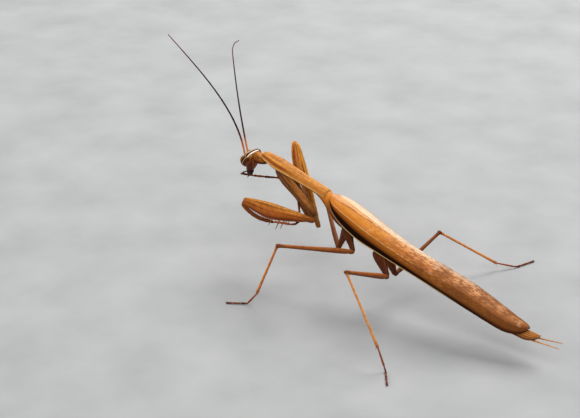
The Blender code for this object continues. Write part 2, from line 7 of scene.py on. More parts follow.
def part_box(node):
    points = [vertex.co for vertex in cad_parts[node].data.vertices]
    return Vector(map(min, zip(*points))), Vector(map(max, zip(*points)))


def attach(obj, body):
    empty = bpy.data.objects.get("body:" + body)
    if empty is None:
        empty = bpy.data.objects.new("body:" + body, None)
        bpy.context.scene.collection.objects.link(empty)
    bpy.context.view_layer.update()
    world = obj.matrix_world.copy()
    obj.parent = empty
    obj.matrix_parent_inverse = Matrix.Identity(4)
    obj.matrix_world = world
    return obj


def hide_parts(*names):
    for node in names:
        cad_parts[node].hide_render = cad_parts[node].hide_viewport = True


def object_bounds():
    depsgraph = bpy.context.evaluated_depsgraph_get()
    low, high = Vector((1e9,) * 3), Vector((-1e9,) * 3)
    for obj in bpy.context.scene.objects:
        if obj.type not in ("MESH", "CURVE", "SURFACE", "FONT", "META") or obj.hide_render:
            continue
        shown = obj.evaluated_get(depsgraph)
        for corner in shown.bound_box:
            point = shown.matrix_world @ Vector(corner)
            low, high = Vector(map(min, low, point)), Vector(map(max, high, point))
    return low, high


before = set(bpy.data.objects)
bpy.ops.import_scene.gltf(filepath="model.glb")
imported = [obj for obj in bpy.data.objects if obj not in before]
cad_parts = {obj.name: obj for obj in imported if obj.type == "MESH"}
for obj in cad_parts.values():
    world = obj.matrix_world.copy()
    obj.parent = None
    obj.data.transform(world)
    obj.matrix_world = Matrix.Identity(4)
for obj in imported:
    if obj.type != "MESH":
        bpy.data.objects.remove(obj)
cad_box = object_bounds()


# The pronotum. The long hard shield behind the head: a light orange-brown shell with a fine keel
# along its back, a groove across its swelling above the fore coxae, and thin pale turned-out edges.
# Sizes are in millimetres: x to the animal's left, y from the pronotum's rear edge to the tail.
MM = 0.001
PRONOTUM_REAR = 0.3
PRONOTUM_SLOPE = 14.9
PRONOTUM_RINGS = (
    # distance from the head end, half width, half height, shift across, shift down
    (0.00, 0.48, 0.40, 0, 0.10),
    (0.14, 0.84, 0.62, 0, 0.06),
    (0.50, 1.22, 0.88, 0, 0.02),
    (1.10, 1.45, 1.02, 0, 0.0),
    (2.30, 1.68, 1.10, 0, 0.0),
    (3.60, 1.98, 1.20, 0, 0.0),
    (4.50, 2.12, 1.25, 0, 0.0),
    (4.95, 2.13, 1.24, 0, 0.01),
    (5.15, 2.12, 1.18, 0, 0.05),
    (5.35, 2.11, 1.23, 0, 0.01),
    (6.00, 2.07, 1.22, 0, 0.0),
    (7.00, 1.98, 1.20, 0, 0.0),
    (9.00, 1.85, 1.16, 0, 0.0),
    (12.6, 1.71, 1.10, 0, 0.0),
    (15.6, 1.61, 1.10, 0, 0.0),
    (17.4, 1.60, 1.14, 0, 0.0),
    (18.1, 1.62, 1.14, 0, 0.02),
    (18.45, 1.54, 1.06, 0, 0.02),
    (18.6, 1.22, 0.84, 0, 0.02),
)
PRONOTUM_OUTLINE = (
    # across and down, from the keel on the back to the middle of the underside
    (0.0, -1.05), (0.14, -0.98), (0.38, -0.90), (0.64, -0.68), (0.85, -0.36), (0.97, -0.06),
    (1.05, 0.14), (0.95, 0.26), (0.88, 0.46), (0.70, 0.76), (0.40, 0.95), (0.0, 1.0),
)

pronotum_low, pronotum_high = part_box("pronotum")
BODY = Vector(((pronotum_low.x + pronotum_high.x) / 2, pronotum_high.y + PRONOTUM_REAR * MM, 0.0))


def deselect_all():
    for thing in list(bpy.context.selected_objects):
        thing.select_set(False)


def pick(piece):
    deselect_all()
    piece.select_set(True)
    bpy.context.view_layer.objects.active = piece


def added(name):
    """The piece just added, given its name."""
    piece = bpy.context.active_object
    piece.name = piece.data.name = name
    return piece


def edit_all():
    """Opens the active piece for editing, with all of it selected."""
    bpy.ops.object.mode_set(mode="EDIT")
    bpy.ops.mesh.select_all(action="SELECT")


def both_halves(outline):
    """The whole outline round a piece, from its left half."""
    return [*outline, *[(-across, down) for across, down in outline[-2:0:-1]]]


def mark_round(piece, places):
    """Keeps each point's place round the piece and along it, for patterns to follow."""
    mark = piece.data.attributes.new("shape", "FLOAT_VECTOR", "POINT")
    for held, place in zip(mark.data, places):
        held.vector = place


def grow(name, rings, sides=20, outline=None, smoothing=2):
    """A closed body extruded ring by ring up z, from a round start or an outline."""
    deselect_all()
    bpy.ops.mesh.primitive_circle_add(
        vertices=len(outline) if outline else sides, radius=1.0, fill_type="NGON"
    )
    piece = added(name)
    if outline:
        for vertex, (across, down) in zip(piece.data.vertices, outline):
            vertex.co = (across, down, 0.0)
    mark_round(piece, [vertex.co.copy() for vertex in piece.data.vertices])
    rings = [(*ring, 0.0, 0.0)[:5] for ring in rings]
    edit_all()
    height, wide, deep, across, down = rings[0]
    bpy.ops.transform.resize(value=(wide, deep, 1.0), center_override=(0, 0, 0))
    bpy.ops.transform.translate(value=(across, down, height))
    for last, ring in zip(rings, rings[1:]):
        step = (ring[3] - last[3], ring[4] - last[4], ring[0] - last[0])
        bpy.ops.mesh.extrude_region_move(TRANSFORM_OT_translate={"value": step})
        bpy.ops.transform.resize(
            value=(ring[1] / last[1], ring[2] / last[2], 1.0),
            center_override=(ring[3], ring[4], ring[0]),
        )
    bpy.ops.mesh.select_all(action="SELECT")
    bpy.ops.mesh.normals_make_consistent(inside=False)
    bpy.ops.object.mode_set(mode="OBJECT")
    if smoothing:
        rounding = piece.modifiers.new("rounding", "SUBSURF")
        rounding.levels = rounding.render_levels = smoothing
        bpy.ops.object.modifier_apply(modifier="rounding")
    bpy.ops.object.shade_smooth()
    first, length = rings[0][0], rings[-1][0] - rings[0][0]
    for vertex, held in zip(piece.data.vertices, piece.data.attributes["shape"].data):
        held.vector.z = (vertex.co.z - first) / length
    return piece


def square_to(direction, axis):
    """The part of a direction that is square to an axis, as a unit vector."""
    direction = Vector(direction)
    return (direction - axis * direction.dot(axis)).normalized()


def settle(piece, start=(0, 0, 0), along=(0, 0, 1), under=(0, 1, 0)):
    """Lays a piece made upright onto the body: its foot at start, its y towards the underside."""
    along = Vector(along).normalized()
    under = square_to(under, along)
    turn = Matrix((under.cross(along), under, along)).transposed().to_4x4()
    place = Matrix.Translation(BODY + Vector(start) * MM) @ turn @ Matrix.Scale(MM, 4)
    pick(piece)
    piece.matrix_world = place
    bpy.ops.object.transform_apply(location=True, rotation=True, scale=True)
    return piece


def fit_out(piece, material, slot, *nodes):
    """Gives a piece its finish, its body and the CAD nodes it stands for."""
    piece.data.materials.clear()
    piece.data.materials.append(material)
    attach(piece, "root")
    if nodes:
        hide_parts(*nodes)


def add(tree, kind, values=None, **settings):
    """A shader node with its settings, and a value or a link for each input."""
    made = tree.nodes.new("ShaderNode" + kind)
    for setting, value in settings.items():
        setattr(made, setting, value)
    for socket, value in (values or {}).items():
        if isinstance(value, bpy.types.NodeSocket):
            tree.links.new(value, made.inputs[socket])
        else:
            made.inputs[socket].default_value = value
    return made


def sums(tree, operation, *values):
    return add(tree, "Math", dict(enumerate(values)), operation=operation).outputs[0]


def times(tree, *values):
    product, *rest = values
    for value in rest:
        product = sums(tree, "MULTIPLY", product, value)
    return product


def span(tree, value, low, high, start=0.0, end=1.0):
    """From start to end as a value goes from low to high."""
    return add(tree, "MapRange", {0: value, 1: low, 2: high, 3: start, 4: end}).outputs[0]


def band(tree, value, low, high, soft):
    """1 between two values and 0 outside them, with soft edges."""
    rise = span(tree, value, low - soft, low + soft)
    fall = span(tree, value, high - soft, high + soft, 1.0, 0.0)
    return times(tree, rise, fall)


def tint(tree, share, first, second):
    """The first colour turning into the second by the share."""
    if isinstance(second, tuple):
        second = (*second, 1.0)
    return add(tree, "Mix", {0: share, 6: first, 7: second}, data_type="RGBA").outputs[2]


def ramp(tree, value, stops):
    """Colours by a value, from (place, colour) stops."""
    made = add(tree, "ValToRGB", {0: value})
    while len(made.color_ramp.elements) < len(stops):
        made.color_ramp.elements.new(1.0)
    for element, (place, colour) in zip(made.color_ramp.elements, stops):
        element.position = place
        element.color = (*colour, 1.0)
    return made.outputs["Color"]


def place_on(tree):
    """Across, down and along values of a piece, as three outputs."""
    mark = add(tree, "Attribute", attribute_name="shape")
    return add(tree, "SeparateXYZ", {0: mark.outputs["Vector"]}).outputs


def new_group(name, inputs, outputs):
    """A shader node group with its named sockets."""
    tree = bpy.data.node_groups.new(name, "ShaderNodeTree")
    kinds = {"colour": "NodeSocketColor", "number": "NodeSocketFloat"}
    for way, sockets in (("INPUT", inputs), ("OUTPUT", outputs)):
        for socket, kind in sockets.items():
            tree.interface.new_socket(socket, in_out=way, socket_type=kinds[kind])
    return tree, tree.nodes.new("NodeGroupInput"), tree.nodes.new("NodeGroupOutput")


def new_finish(name, values):
    """A material, its tree and its shader, with the shader's own values set."""
    material = bpy.data.materials.new(name)
    material.use_nodes = True
    shader = material.node_tree.nodes["Principled BSDF"]
    for socket, value in values.items():
        shader.inputs[socket].default_value = value
    return material, material.node_tree, shader


def roughen(tree, shader, height, depth, strength=1.0, **settings):
    """Gives a shader the fine relief of a height, its depth in millimetres."""
    bump = add(tree, "Bump", {"Height": height, "Distance": depth * MM, "Strength": strength},
               **settings)
    tree.links.new(bump.outputs["Normal"], shader.inputs["Normal"])


# the fine mottling and leathery grain of all the hard shell
grain, given, out = new_group(
    "shell_grain",
    {"Base": "colour", "Mottle": "colour", "Amount": "number", "Scale": "number"},
    {"Color": "colour", "Height": "number"},
)
where = add(grain, "TexCoord").outputs["Object"]
patches = add(grain, "TexNoise", {"Vector": where, "Scale": given.outputs["Scale"], "Detail": 5.0,
                                  "Roughness": 0.62})
fine_scale = times(grain, given.outputs["Scale"], 5.0)
fine = add(grain, "TexNoise", {"Vector": where, "Scale": fine_scale, "Detail": 3.0})
pits = add(grain, "TexVoronoi", {"Vector": where, "Scale": fine_scale})
spread = span(grain, patches.outputs[0], 0.42, 0.66)
speck = span(grain, fine.outputs[0], 0.50, 0.75, end=0.45)
amount = times(grain, sums(grain, "MAXIMUM", spread, speck), given.outputs["Amount"])
grain.links.new(tint(grain, amount, given.outputs["Base"], given.outputs["Mottle"]),
                out.inputs["Color"])
relief = times(grain, pits.outputs["Distance"], 0.5)
grain.links.new(sums(grain, "ADD", relief, fine.outputs[0]), out.inputs["Height"])


def finish_shell(name, colour_of, mottle, amount=0.45, scale=900.0, depth=0.02, roughness=0.45,
                 coat=0.0, marks=None):
    """A material of grained shell: colour_of makes the base colour, marks paints over the grain."""
    material, tree, shader = new_finish(name, {
        "Roughness": roughness, "Specular IOR Level": 0.09, "Coat Weight": coat,
        "Coat Roughness": 0.28,
    })
    surface = add(tree, "Group", {"Base": colour_of(tree), "Mottle": (*mottle, 1.0),
                                  "Amount": amount, "Scale": scale}, node_tree=grain)
    colour = surface.outputs["Color"]
    tree.links.new(marks(tree, colour) if marks else colour, shader.inputs["Base Color"])
    roughen(tree, shader, surface.outputs["Height"], depth, 0.6)
    return material


def streaks(tree, scale=4.5):
    """Fine lengthwise streaks over a piece, from 0 to 1."""
    across, down, along = place_on(tree)
    spread = add(tree, "CombineXYZ", {0: across, 1: down, 2: times(tree, along, 0.5)})
    flow = add(tree, "TexNoise", {"Vector": spread.outputs[0], "Scale": scale,
                                  "Detail": 3.0}).outputs[0]
    return span(tree, flow, 0.46, 0.60)


def pronotum_colour(tree):
    _, down, along = place_on(tree)
    rows = ramp(tree, span(tree, down, -1.05, 1.0), (
        (0.00, (0.62, 0.24, 0.040)), (0.05, (0.80, 0.36, 0.085)), (0.17, (0.76, 0.31, 0.055)),
        (0.25, (0.42, 0.11, 0.011)), (0.33, (0.15, 0.030, 0.003)), (0.42, (0.42, 0.12, 0.013)),
        (0.50, (0.70, 0.28, 0.045)), (0.565, (0.96, 0.64, 0.21)), (0.63, (0.84, 0.40, 0.09)),
        (0.70, (0.32, 0.085, 0.012)), (1.0, (0.20, 0.05, 0.008)),
    ))
    rows = tint(tree, times(tree, streaks(tree, 6.0), 0.70), rows, (0.32, 0.078, 0.008))
    # the dark line along each side fades towards the rear, and the groove crosses the back
    fading = times(tree, band(tree, down, -0.62, -0.08, 0.08),
                   span(tree, along, 0.35, 0.6, end=0.65))
    rows = tint(tree, fading, rows, (0.68, 0.26, 0.045))
    groove = times(tree, band(tree, along, 0.268, 0.288, 0.008),
                   span(tree, down, 0.1, -0.3, end=0.30))
    return tint(tree, groove, rows, (0.28, 0.09, 0.02))


pronotum = grow("pronotum_shield", PRONOTUM_RINGS, outline=both_halves(PRONOTUM_OUTLINE))
slope = math.radians(PRONOTUM_SLOPE)
pronotum_middle = (pronotum_low.z + pronotum_high.z) / 2 / MM
pronotum_run = (pronotum_high.y - pronotum_low.y) / MM
front_y = -PRONOTUM_REAR - pronotum_run
front = (0.0, front_y, pronotum_middle + math.tan(slope) * pronotum_run / 2)
settle(pronotum, front, (0, math.cos(slope), -math.sin(slope)), (0, 0, -1))
pronotum_shell = finish_shell("pronotum_shell", pronotum_colour, (0.28, 0.085, 0.015),
                              scale=1100.0)
fit_out(pronotum, pronotum_shell, "back", "pronotum")


# The thorax and abdomen. Under the wings the thorax is a stout box of side plates that the walking
# legs hang from, and the abdomen a flattened tube of overlapping rings, all reddish-brown shell.
THORAX_RINGS = (
    # place along the body, half width, half height, height of the middle above the floor
    (-5.2, 0.40, 0.25, 22.90),
    (-4.2, 0.85, 0.60, 22.55),
    (-3.0, 1.20, 0.95, 22.20),
    (-1.7, 1.45, 1.30, 21.85),
    (-0.6, 1.62, 1.62, 21.20),
    (0.4, 1.76, 2.05, 20.35),
    (1.4, 1.86, 2.40, 19.45),
    (2.6, 1.92, 2.50, 18.30),
    (4.4, 1.97, 2.35, 17.30),
    (6.2, 1.98, 2.22, 16.90),
    (6.8, 1.90, 2.12, 16.65),
    (7.4, 2.05, 2.20, 16.35),
    (9.4, 2.18, 2.15, 15.75),
    (11.8, 2.16, 2.08, 14.85),
    (13.6, 2.02, 1.95, 14.10),
    (15.4, 1.80, 1.75, 13.45),
    (16.7, 1.50, 1.35, 13.00),
)
ABDOMEN_START, ABDOMEN_END = 16.4, 48.9
ABDOMEN_RINGS = 9
ABDOMEN_WIDTHS = ((0.0, 1.55), (0.12, 1.85), (0.5, 1.86), (0.75, 1.60), (0.9, 1.25), (1.0, 0.80))
ABDOMEN_HEIGHTS = ((0.0, 1.15), (0.12, 1.35), (0.6, 1.22), (0.8, 0.95), (0.93, 0.66), (1.0, 0.42))
ABDOMEN_MIDDLES = ((0.0, 13.45), (0.25, 11.05), (0.48, 9.75), (0.70, 8.20), (0.88, 6.20),
                   (1.0, 4.75))
RING_SWELLS = ((0.0, 0.90), (0.12, 0.97), (0.75, 1.03), (0.93, 1.02))


def between(table, place):
    """The value at a place in a table of (place, value), in straight steps."""
    for (low, first), (high, last) in zip(table, table[1:]):
        if place <= high:
            break
    return first + (last - first) * min(1.0, max(0.0, (place - low) / (high - low)))


def body_tube(name, rows):
    """A body grown along the animal from rows of place, half width, half height and middle."""
    rings = [(place, wide, deep, 0.0, -middle) for place, wide, deep, middle in rows]
    return settle(grow(name, rings, sides=20, smoothing=2), (0, 0, 0), (0, 1, 0), (0, 0, -1))


def abdomen_rows():
    """Each ring swells a little and laps over the narrower front of the next."""
    rows = []
    for ring in range(ABDOMEN_RINGS):
        for share, swell in RING_SWELLS:
            part = (ring + share) / ABDOMEN_RINGS
            rows.append((ABDOMEN_START + (ABDOMEN_END - ABDOMEN_START) * part,
                         between(ABDOMEN_WIDTHS, part) * swell,
                         between(ABDOMEN_HEIGHTS, part) * swell,
                         between(ABDOMEN_MIDDLES, part)))
    rows.append((ABDOMEN_END, 0.35, 0.2, ABDOMEN_MIDDLES[-1][1]))
    return rows


def down_ramp(tree, stops):
    """Colours from the middle of a piece's back, at 0, to the middle of its underside, at 1."""
    return ramp(tree, span(tree, place_on(tree)[1], -1.0, 1.0), stops)


def trunk_colour(tree):
    flank = down_ramp(tree, (
        (0.0, (0.30, 0.12, 0.035)), (0.35, (0.26, 0.085, 0.020)), (0.55, (0.15, 0.040, 0.008)),
        (0.75, (0.10, 0.025, 0.005)), (1.0, (0.20, 0.065, 0.016)),
    ))
    rings = sums(tree, "FRACT", times(tree, place_on(tree)[2], float(ABDOMEN_RINGS)))
    edge = times(tree, band(tree, rings, 0.88, 1.10, 0.05), 0.6)
    return tint(tree, edge, flank, (0.05, 0.013, 0.004))


trunk_shell = finish_shell("trunk_shell", trunk_colour, (0.07, 0.02, 0.005), amount=0.6,
                           scale=800.0, depth=0.03)


def thorax_colour(tree):
    """Orange above and black below in front, turning into the abdomen's brown behind."""
    front = down_ramp(tree, (
        (0.0, (0.74, 0.26, 0.036)), (0.30, (0.66, 0.20, 0.020)), (0.50, (0.62, 0.16, 0.015)),
        (0.62, (0.30, 0.065, 0.007)), (0.74, (0.04, 0.010, 0.003)), (1.0, (0.02, 0.006, 0.003)),
    ))
    behind = span(tree, place_on(tree)[2], 0.26, 0.38)
    return tint(tree, behind, front, trunk_colour(tree))


thorax_shell = finish_shell("thorax_shell", thorax_colour, (0.07, 0.02, 0.005), depth=0.03)
fit_out(body_tube("thorax_plates", THORAX_RINGS), thorax_shell, "leg", "thorax")
fit_out(body_tube("abdomen_rings", abdomen_rows()), trunk_shell, "leg", "abdomen")


# The neck. A short soft membrane, ringed with fine folds, that lets the head turn on the body. It
# comes out of the front of the pronotum, thick below and hidden above by the shield's edge.
NECK_ROWS = (
    # place along the body, half width, half height, height of the middle
    (-20.45, 0.95, 0.90, 25.25),
    (-20.2, 1.24, 1.18, 25.26),
    (-19.9, 1.36, 1.30, 25.28),
    (-19.65, 1.33, 1.26, 25.29),
    (-19.4, 1.40, 1.30, 25.28),
    (-19.15, 1.36, 1.24, 25.26),
    (-18.9, 1.40, 1.24, 25.24),
    (-18.6, 1.34, 1.15, 25.20),
    (-18.2, 1.24, 0.98, 25.10),
    (-17.4, 1.00, 0.62, 24.95),
    (-16.9, 0.45, 0.26, 24.90),
)


def neck_colour(tree):
    colour = down_ramp(tree, (
        (0.0, (0.62, 0.25, 0.040)), (0.30, (0.46, 0.14, 0.016)), (0.50, (0.28, 0.066, 0.007)),
        (0.66, (0.11, 0.020, 0.003)), (0.80, (0.03, 0.007, 0.002)), (1.0, (0.03, 0.007, 0.002)),
    ))
    return tint(tree, times(tree, streaks(tree, 7.0), 0.6), colour, (0.13, 0.026, 0.004))


neck_skin = finish_shell("neck_membrane", neck_colour, (0.10, 0.022, 0.004), amount=0.8,
                         scale=1500.0, depth=0.05, roughness=0.6)
fit_out(body_tube("neck_folds", NECK_ROWS), neck_skin, "back", "neck")


# The head. A triangular capsule of thin hard shell, broad between the eyes and tapering to the
# mouth, tan in front and above, with a black and a white band across the back of its crown.
HEAD_RINGS = (
    # height from the pivot, half width, half depth, shift across, shift back
    (-3.20, 0.62, 0.50, 0, -0.28),
    (-3.05, 0.92, 0.82, 0, -0.22),
    (-2.50, 1.18, 1.06, 0, -0.15),
    (-1.80, 1.50, 1.28, 0, 0.0),
    (-1.10, 1.80, 1.42, 0, 0.10),
    (-0.40, 2.02, 1.48, 0, 0.13),
    (0.20, 2.10, 1.48, 0, 0.14),
    (0.70, 2.06, 1.40, 0, 0.18),
    (1.05, 1.92, 1.22, 0, 0.23),
    (1.28, 1.66, 1.00, 0, 0.28),
    (1.44, 1.25, 0.72, 0, 0.32),
    (1.52, 0.70, 0.40, 0, 0.35),
)
HEAD_OUTLINE = (
    # across and back, from the middle of the face round the left cheek to the nape
    (0.0, -1.0), (0.22, -0.98), (0.45, -0.90), (0.66, -0.74), (0.84, -0.52), (0.96, -0.26),
    (1.0, 0.02), (0.98, 0.30), (0.90, 0.56), (0.74, 0.78), (0.50, 0.93), (0.25, 0.99), (0.0, 0.98),
)
# from the pivot's height: the neck enters half way up the head's back
head_low, head_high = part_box("head")
HEAD_PIVOT = ((head_low + head_high) / 2 - BODY) / MM + Vector((0.0, -0.05, 0.75))
BANDS = (
    # the two edges of each band, front to rear, its strength and colour
    (-0.52, -0.05, 1.0, (0.005, 0.002, 0.001)), (-0.03, 0.27, 1.0, (0.90, 0.84, 0.66)),
    (0.29, 0.42, 0.85, (0.12, 0.014, 0.004)), (0.62, 0.70, 0.55, (0.14, 0.022, 0.005)),
    (0.88, 0.94, 0.45, (0.10, 0.018, 0.005)),
)
BAND_SLANT = 0.5


def noise(tree, scale, detail=2.0):
    """Soft patches over a piece, around 0.5."""
    where = add(tree, "TexCoord").outputs["Object"]
    values = {"Vector": where, "Scale": scale, "Detail": detail}
    return add(tree, "TexNoise", values).outputs[0]


def from_pivot(tree):
    """Across, back and up in millimetres from the head's pivot, and a slight wander either way."""
    where = add(tree, "TexCoord").outputs["Object"]
    centre = BODY + HEAD_PIVOT * MM
    moved = add(tree, "VectorMath", {0: where, 1: tuple(-centre)}, operation="ADD").outputs[0]
    scaled = add(tree, "VectorMath", {0: moved, 1: (1 / MM,) * 3}, operation="MULTIPLY").outputs[0]
    wander = sums(tree, "SUBTRACT", noise(tree, 1500.0), 0.5)
    return *add(tree, "SeparateXYZ", {0: scaled}).outputs, wander


def band_level(tree, back, up, wander):
    """How far behind the black band's plane, which leans forward as it goes down."""
    slant = sums(tree, "MULTIPLY_ADD", up, -BAND_SLANT, back)
    return sums(tree, "MULTIPLY_ADD", wander, 0.06, slant)


def head_colour(tree):
    across, back, up, _ = from_pivot(tree)
    height = span(tree, up, -3.2, 1.55)
    behind = ramp(tree, height, (
        (0.0, (0.07, 0.013, 0.002)), (0.25, (0.22, 0.046, 0.004)), (0.5, (0.40, 0.100, 0.009)),
        (0.70, (0.50, 0.150, 0.014)), (0.84, (0.64, 0.23, 0.030)), (0.93, (0.66, 0.28, 0.07)),
        (1.0, (0.72, 0.42, 0.26)),
    ))
    face = ramp(tree, height, (
        (0.0, (0.15, 0.050, 0.012)), (0.4, (0.36, 0.16, 0.05)), (0.75, (0.56, 0.33, 0.17)),
        (1.0, (0.60, 0.36, 0.22)),
    ))
    colour = tint(tree, span(tree, back, -0.75, -0.15), face, behind)
    # the cheeks are darker, the nape is streaked, and a pale line runs down each side of it
    reach = sums(tree, "ABSOLUTE", across)
    cheek = times(tree, band(tree, reach, 0.95, 2.6, 0.30), span(tree, up, 0.95, 0.35), 0.45)
    colour = tint(tree, cheek, colour, (0.070, 0.008, 0.001))
    flecks = times(tree, streaks(tree, 6.0), span(tree, back, 0.0, 0.4), 0.7)
    colour = tint(tree, flecks, colour, (0.06, 0.010, 0.002))
    line = sums(tree, "ADD", reach, times(tree, up, -0.35))
    pale = times(tree, band(tree, line, 1.30, 1.42, 0.04), span(tree, back, 0.1, 0.5), 0.5)
    return tint(tree, pale, colour, (0.42, 0.17, 0.06))


def crown_bands(tree, colour):
    """The black, white and brown bands from eye to eye, each lying along one slanting plane."""
    _, back, up, wander = from_pivot(tree)
    level = band_level(tree, back, up, wander)
    top = span(tree, up, 0.15, 0.35)
    for low, high, share, paint in BANDS:
        place = times(tree, band(tree, level, low, high, 0.02), top, share)
        colour = tint(tree, place, colour, paint)
    return colour


head = grow("head_capsule", HEAD_RINGS, outline=both_halves(HEAD_OUTLINE))
settle(head, HEAD_PIVOT)
head_shell = finish_shell("head_shell", head_colour, (0.05, 0.010, 0.003), amount=0.7,
                          scale=1700.0, roughness=0.42, marks=crown_bands)
fit_out(head, head_shell, "back", "head")


# The face. Below the feelers a shield-shaped plate stands a little proud of the head, with the
# clypeus, a soft-edged strip, under it, and each feeler's ring-shaped socket above.
FACE_PLATES = (
    # name, place on the head, radii
    ("frontal", (0.0, -1.12, -0.45), (0.62, 0.26, 0.42)),
    ("clypeus", (0.0, -1.08, -1.35), (0.66, 0.22, 0.40)),
    ("lip_joint", (0.0, -1.02, -2.15), (0.60, 0.24, 0.46)),
)
SOCKETS = ((0.55, -1.40, 0.42), (-0.55, -1.40, 0.42))
SOCKET_RADIUS, SOCKET_RIM = 0.27, 0.085


def on_head(across, back, up):
    return HEAD_PIVOT + Vector((across, back, up))


def ball(name, place, radii, lean=0.0, segments=24):
    """A ball stretched to its radii in millimetres, leaning over by some degrees about y."""
    deselect_all()
    bpy.ops.mesh.primitive_uv_sphere_add(segments=segments, ring_count=segments // 2, radius=1.0)
    piece = added(name)
    edit_all()
    bpy.ops.transform.resize(value=radii, center_override=(0, 0, 0))
    bpy.ops.object.mode_set(mode="OBJECT")
    piece.rotation_euler = (0.0, math.radians(lean), 0.0)
    bpy.ops.object.transform_apply(rotation=True)
    mark_round(piece, [Vector(vertex.co) for vertex in piece.data.vertices])
    bpy.ops.object.shade_smooth()
    return settle(piece, place)


def join(name, pieces):
    """Several pieces made into one."""
    deselect_all()
    for piece in pieces:
        piece.select_set(True)
    bpy.context.view_layer.objects.active = pieces[0]
    bpy.ops.object.join()
    pieces[0].name = pieces[0].data.name = name
    return pieces[0]


def socket_ring(name, place, facing):
    """A small raised ring for a feeler to stand in."""
    deselect_all()
    bpy.ops.mesh.primitive_torus_add(major_segments=20, minor_segments=8,
                                     major_radius=SOCKET_RADIUS, minor_radius=SOCKET_RIM)
    ring = added(name)
    bpy.ops.object.shade_smooth()
    return settle(ring, place, facing)


plates = [ball(name, on_head(*place), radii) for name, place, radii in FACE_PLATES]
rims = [socket_ring("rim", on_head(*place), (place[0] * 0.3, -1.0, 0.35)) for place in SOCKETS]
face = join("face_plates", [*plates, *rims])


def face_colour(tree):
    return ramp(tree, span(tree, from_pivot(tree)[2], -2.6, 0.6), (
        (0.0, (0.20, 0.07, 0.02)), (0.5, (0.45, 0.22, 0.09)), (1.0, (0.66, 0.36, 0.22)),
    ))


face_shell = finish_shell("face_shell", face_colour, (0.16, 0.05, 0.015), amount=0.4,
                          scale=1700.0, roughness=0.42)
fit_out(face, face_shell, "back")


# The simple eyes. Three small domes in a triangle on the brow above the feelers, each a single
# lens of clear smooth cuticle, near black, that tells light from dark.
OCELLI = (
    # place on the head, radius
    ((0.0, -1.10, 1.02), 0.17), ((0.34, -0.86, 1.20), 0.19), ((-0.34, -0.86, 1.20), 0.19),
)

ocellus_glass, tree, shader = new_finish("ocellus_glass", {
    "Roughness": 0.15, "Coat Weight": 1.0, "Coat Roughness": 0.05,
})
tree.links.new(ramp(tree, noise(tree, 3000.0), (
    (0.35, (0.008, 0.0032, 0.0016)), (0.65, (0.020, 0.008, 0.004)),
)), shader.inputs["Base Color"])
domes = [ball("dome", on_head(*place), (radius,) * 3, segments=16) for place, radius in OCELLI]
fit_out(join("ocelli", domes), ocellus_glass, "eye")


# The compound eyes. Large leaning ovals at the corners of the head, thousands of fine facets under
# a hard clear surface, olive-brown with darker and paler stripes from crown to cheek.
SIDES = (("left", 1), ("right", -1))
EYE_RADII, EYE_LEAN = (0.92, 1.10, 1.42), 18.0
EYE_OFFSET = (0.0, -0.12, -0.25)
# how far in front of the crown's bands the eye's bands lie, and the colour behind them, paler on
# the right eye as a painted highlight on the far eye
EYE_BANDS = {"left": (0.0, (0.06, 0.010, 0.002)), "right": (0.45, (0.40, 0.14, 0.035))}


def eye_colour(tree, word):
    _, back, up, wander = from_pivot(tree)
    shift, rear = EYE_BANDS[word]
    level = sums(tree, "ADD", band_level(tree, back, up, wander), shift)
    return ramp(tree, span(tree, level, -1.6, 1.6), (
        (0.00, (0.40, 0.12, 0.025)), (0.14, (0.30, 0.090, 0.012)), (0.24, (0.22, 0.105, 0.009)),
        (0.31, (0.19, 0.090, 0.008)), (0.335, (0.20, 0.028, 0.004)), (0.36, (0.16, 0.075, 0.008)),
        (0.395, (0.12, 0.022, 0.003)), (0.415, (0.005, 0.002, 0.001)),
        (0.50, (0.004, 0.002, 0.001)), (0.522, (0.62, 0.34, 0.12)), (0.550, (0.50, 0.24, 0.07)),
        (0.575, (0.06, 0.006, 0.001)), (0.64, (0.014, 0.003, 0.001)),
        (0.67, (0.22, 0.070, 0.016)), (0.70, (0.035, 0.005, 0.001)), (0.77, rear),
        (0.81, (0.20, 0.055, 0.012)), (1.00, rear),
    ))


for word, side in SIDES:
    eye_facets, tree, shader = new_finish("eye_facets_" + word, {
        "Roughness": 0.30, "Specular IOR Level": 0.14, "Coat Weight": 0.04, "Coat Roughness": 0.12,
    })
    tree.links.new(eye_colour(tree, word), shader.inputs["Base Color"])
    where = add(tree, "TexCoord").outputs["Object"]
    facets = add(tree, "TexVoronoi", {"Vector": where, "Scale": 14000.0}).outputs["Distance"]
    roughen(tree, shader, facets, 0.012, invert=True)
    low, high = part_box("eye_" + word)
    centre = ((low + high) / 2 - BODY) / MM + Vector(EYE_OFFSET)
    eye = ball("compound_eye_" + word, centre, EYE_RADII, EYE_LEAN * side, segments=48)
    fit_out(eye, eye_facets, "eye", "eye_" + word)


# The mouth. A lip flap in front, a pair of dark jaws meeting under it, the lower lip behind, and
# two pairs of short jointed palps, all of dark brown shell, nearly black about the jaws.
MAXILLARY_PALP = ((0.50, -0.45, -3.55), (0.92, -0.85, -3.50), (1.30, -1.35, -3.75),
                  (1.45, -1.75, -4.45))
LABIAL_PALP = ((0.25, -0.25, -4.30), (0.50, -0.45, -4.70), (0.62, -0.70, -5.15))
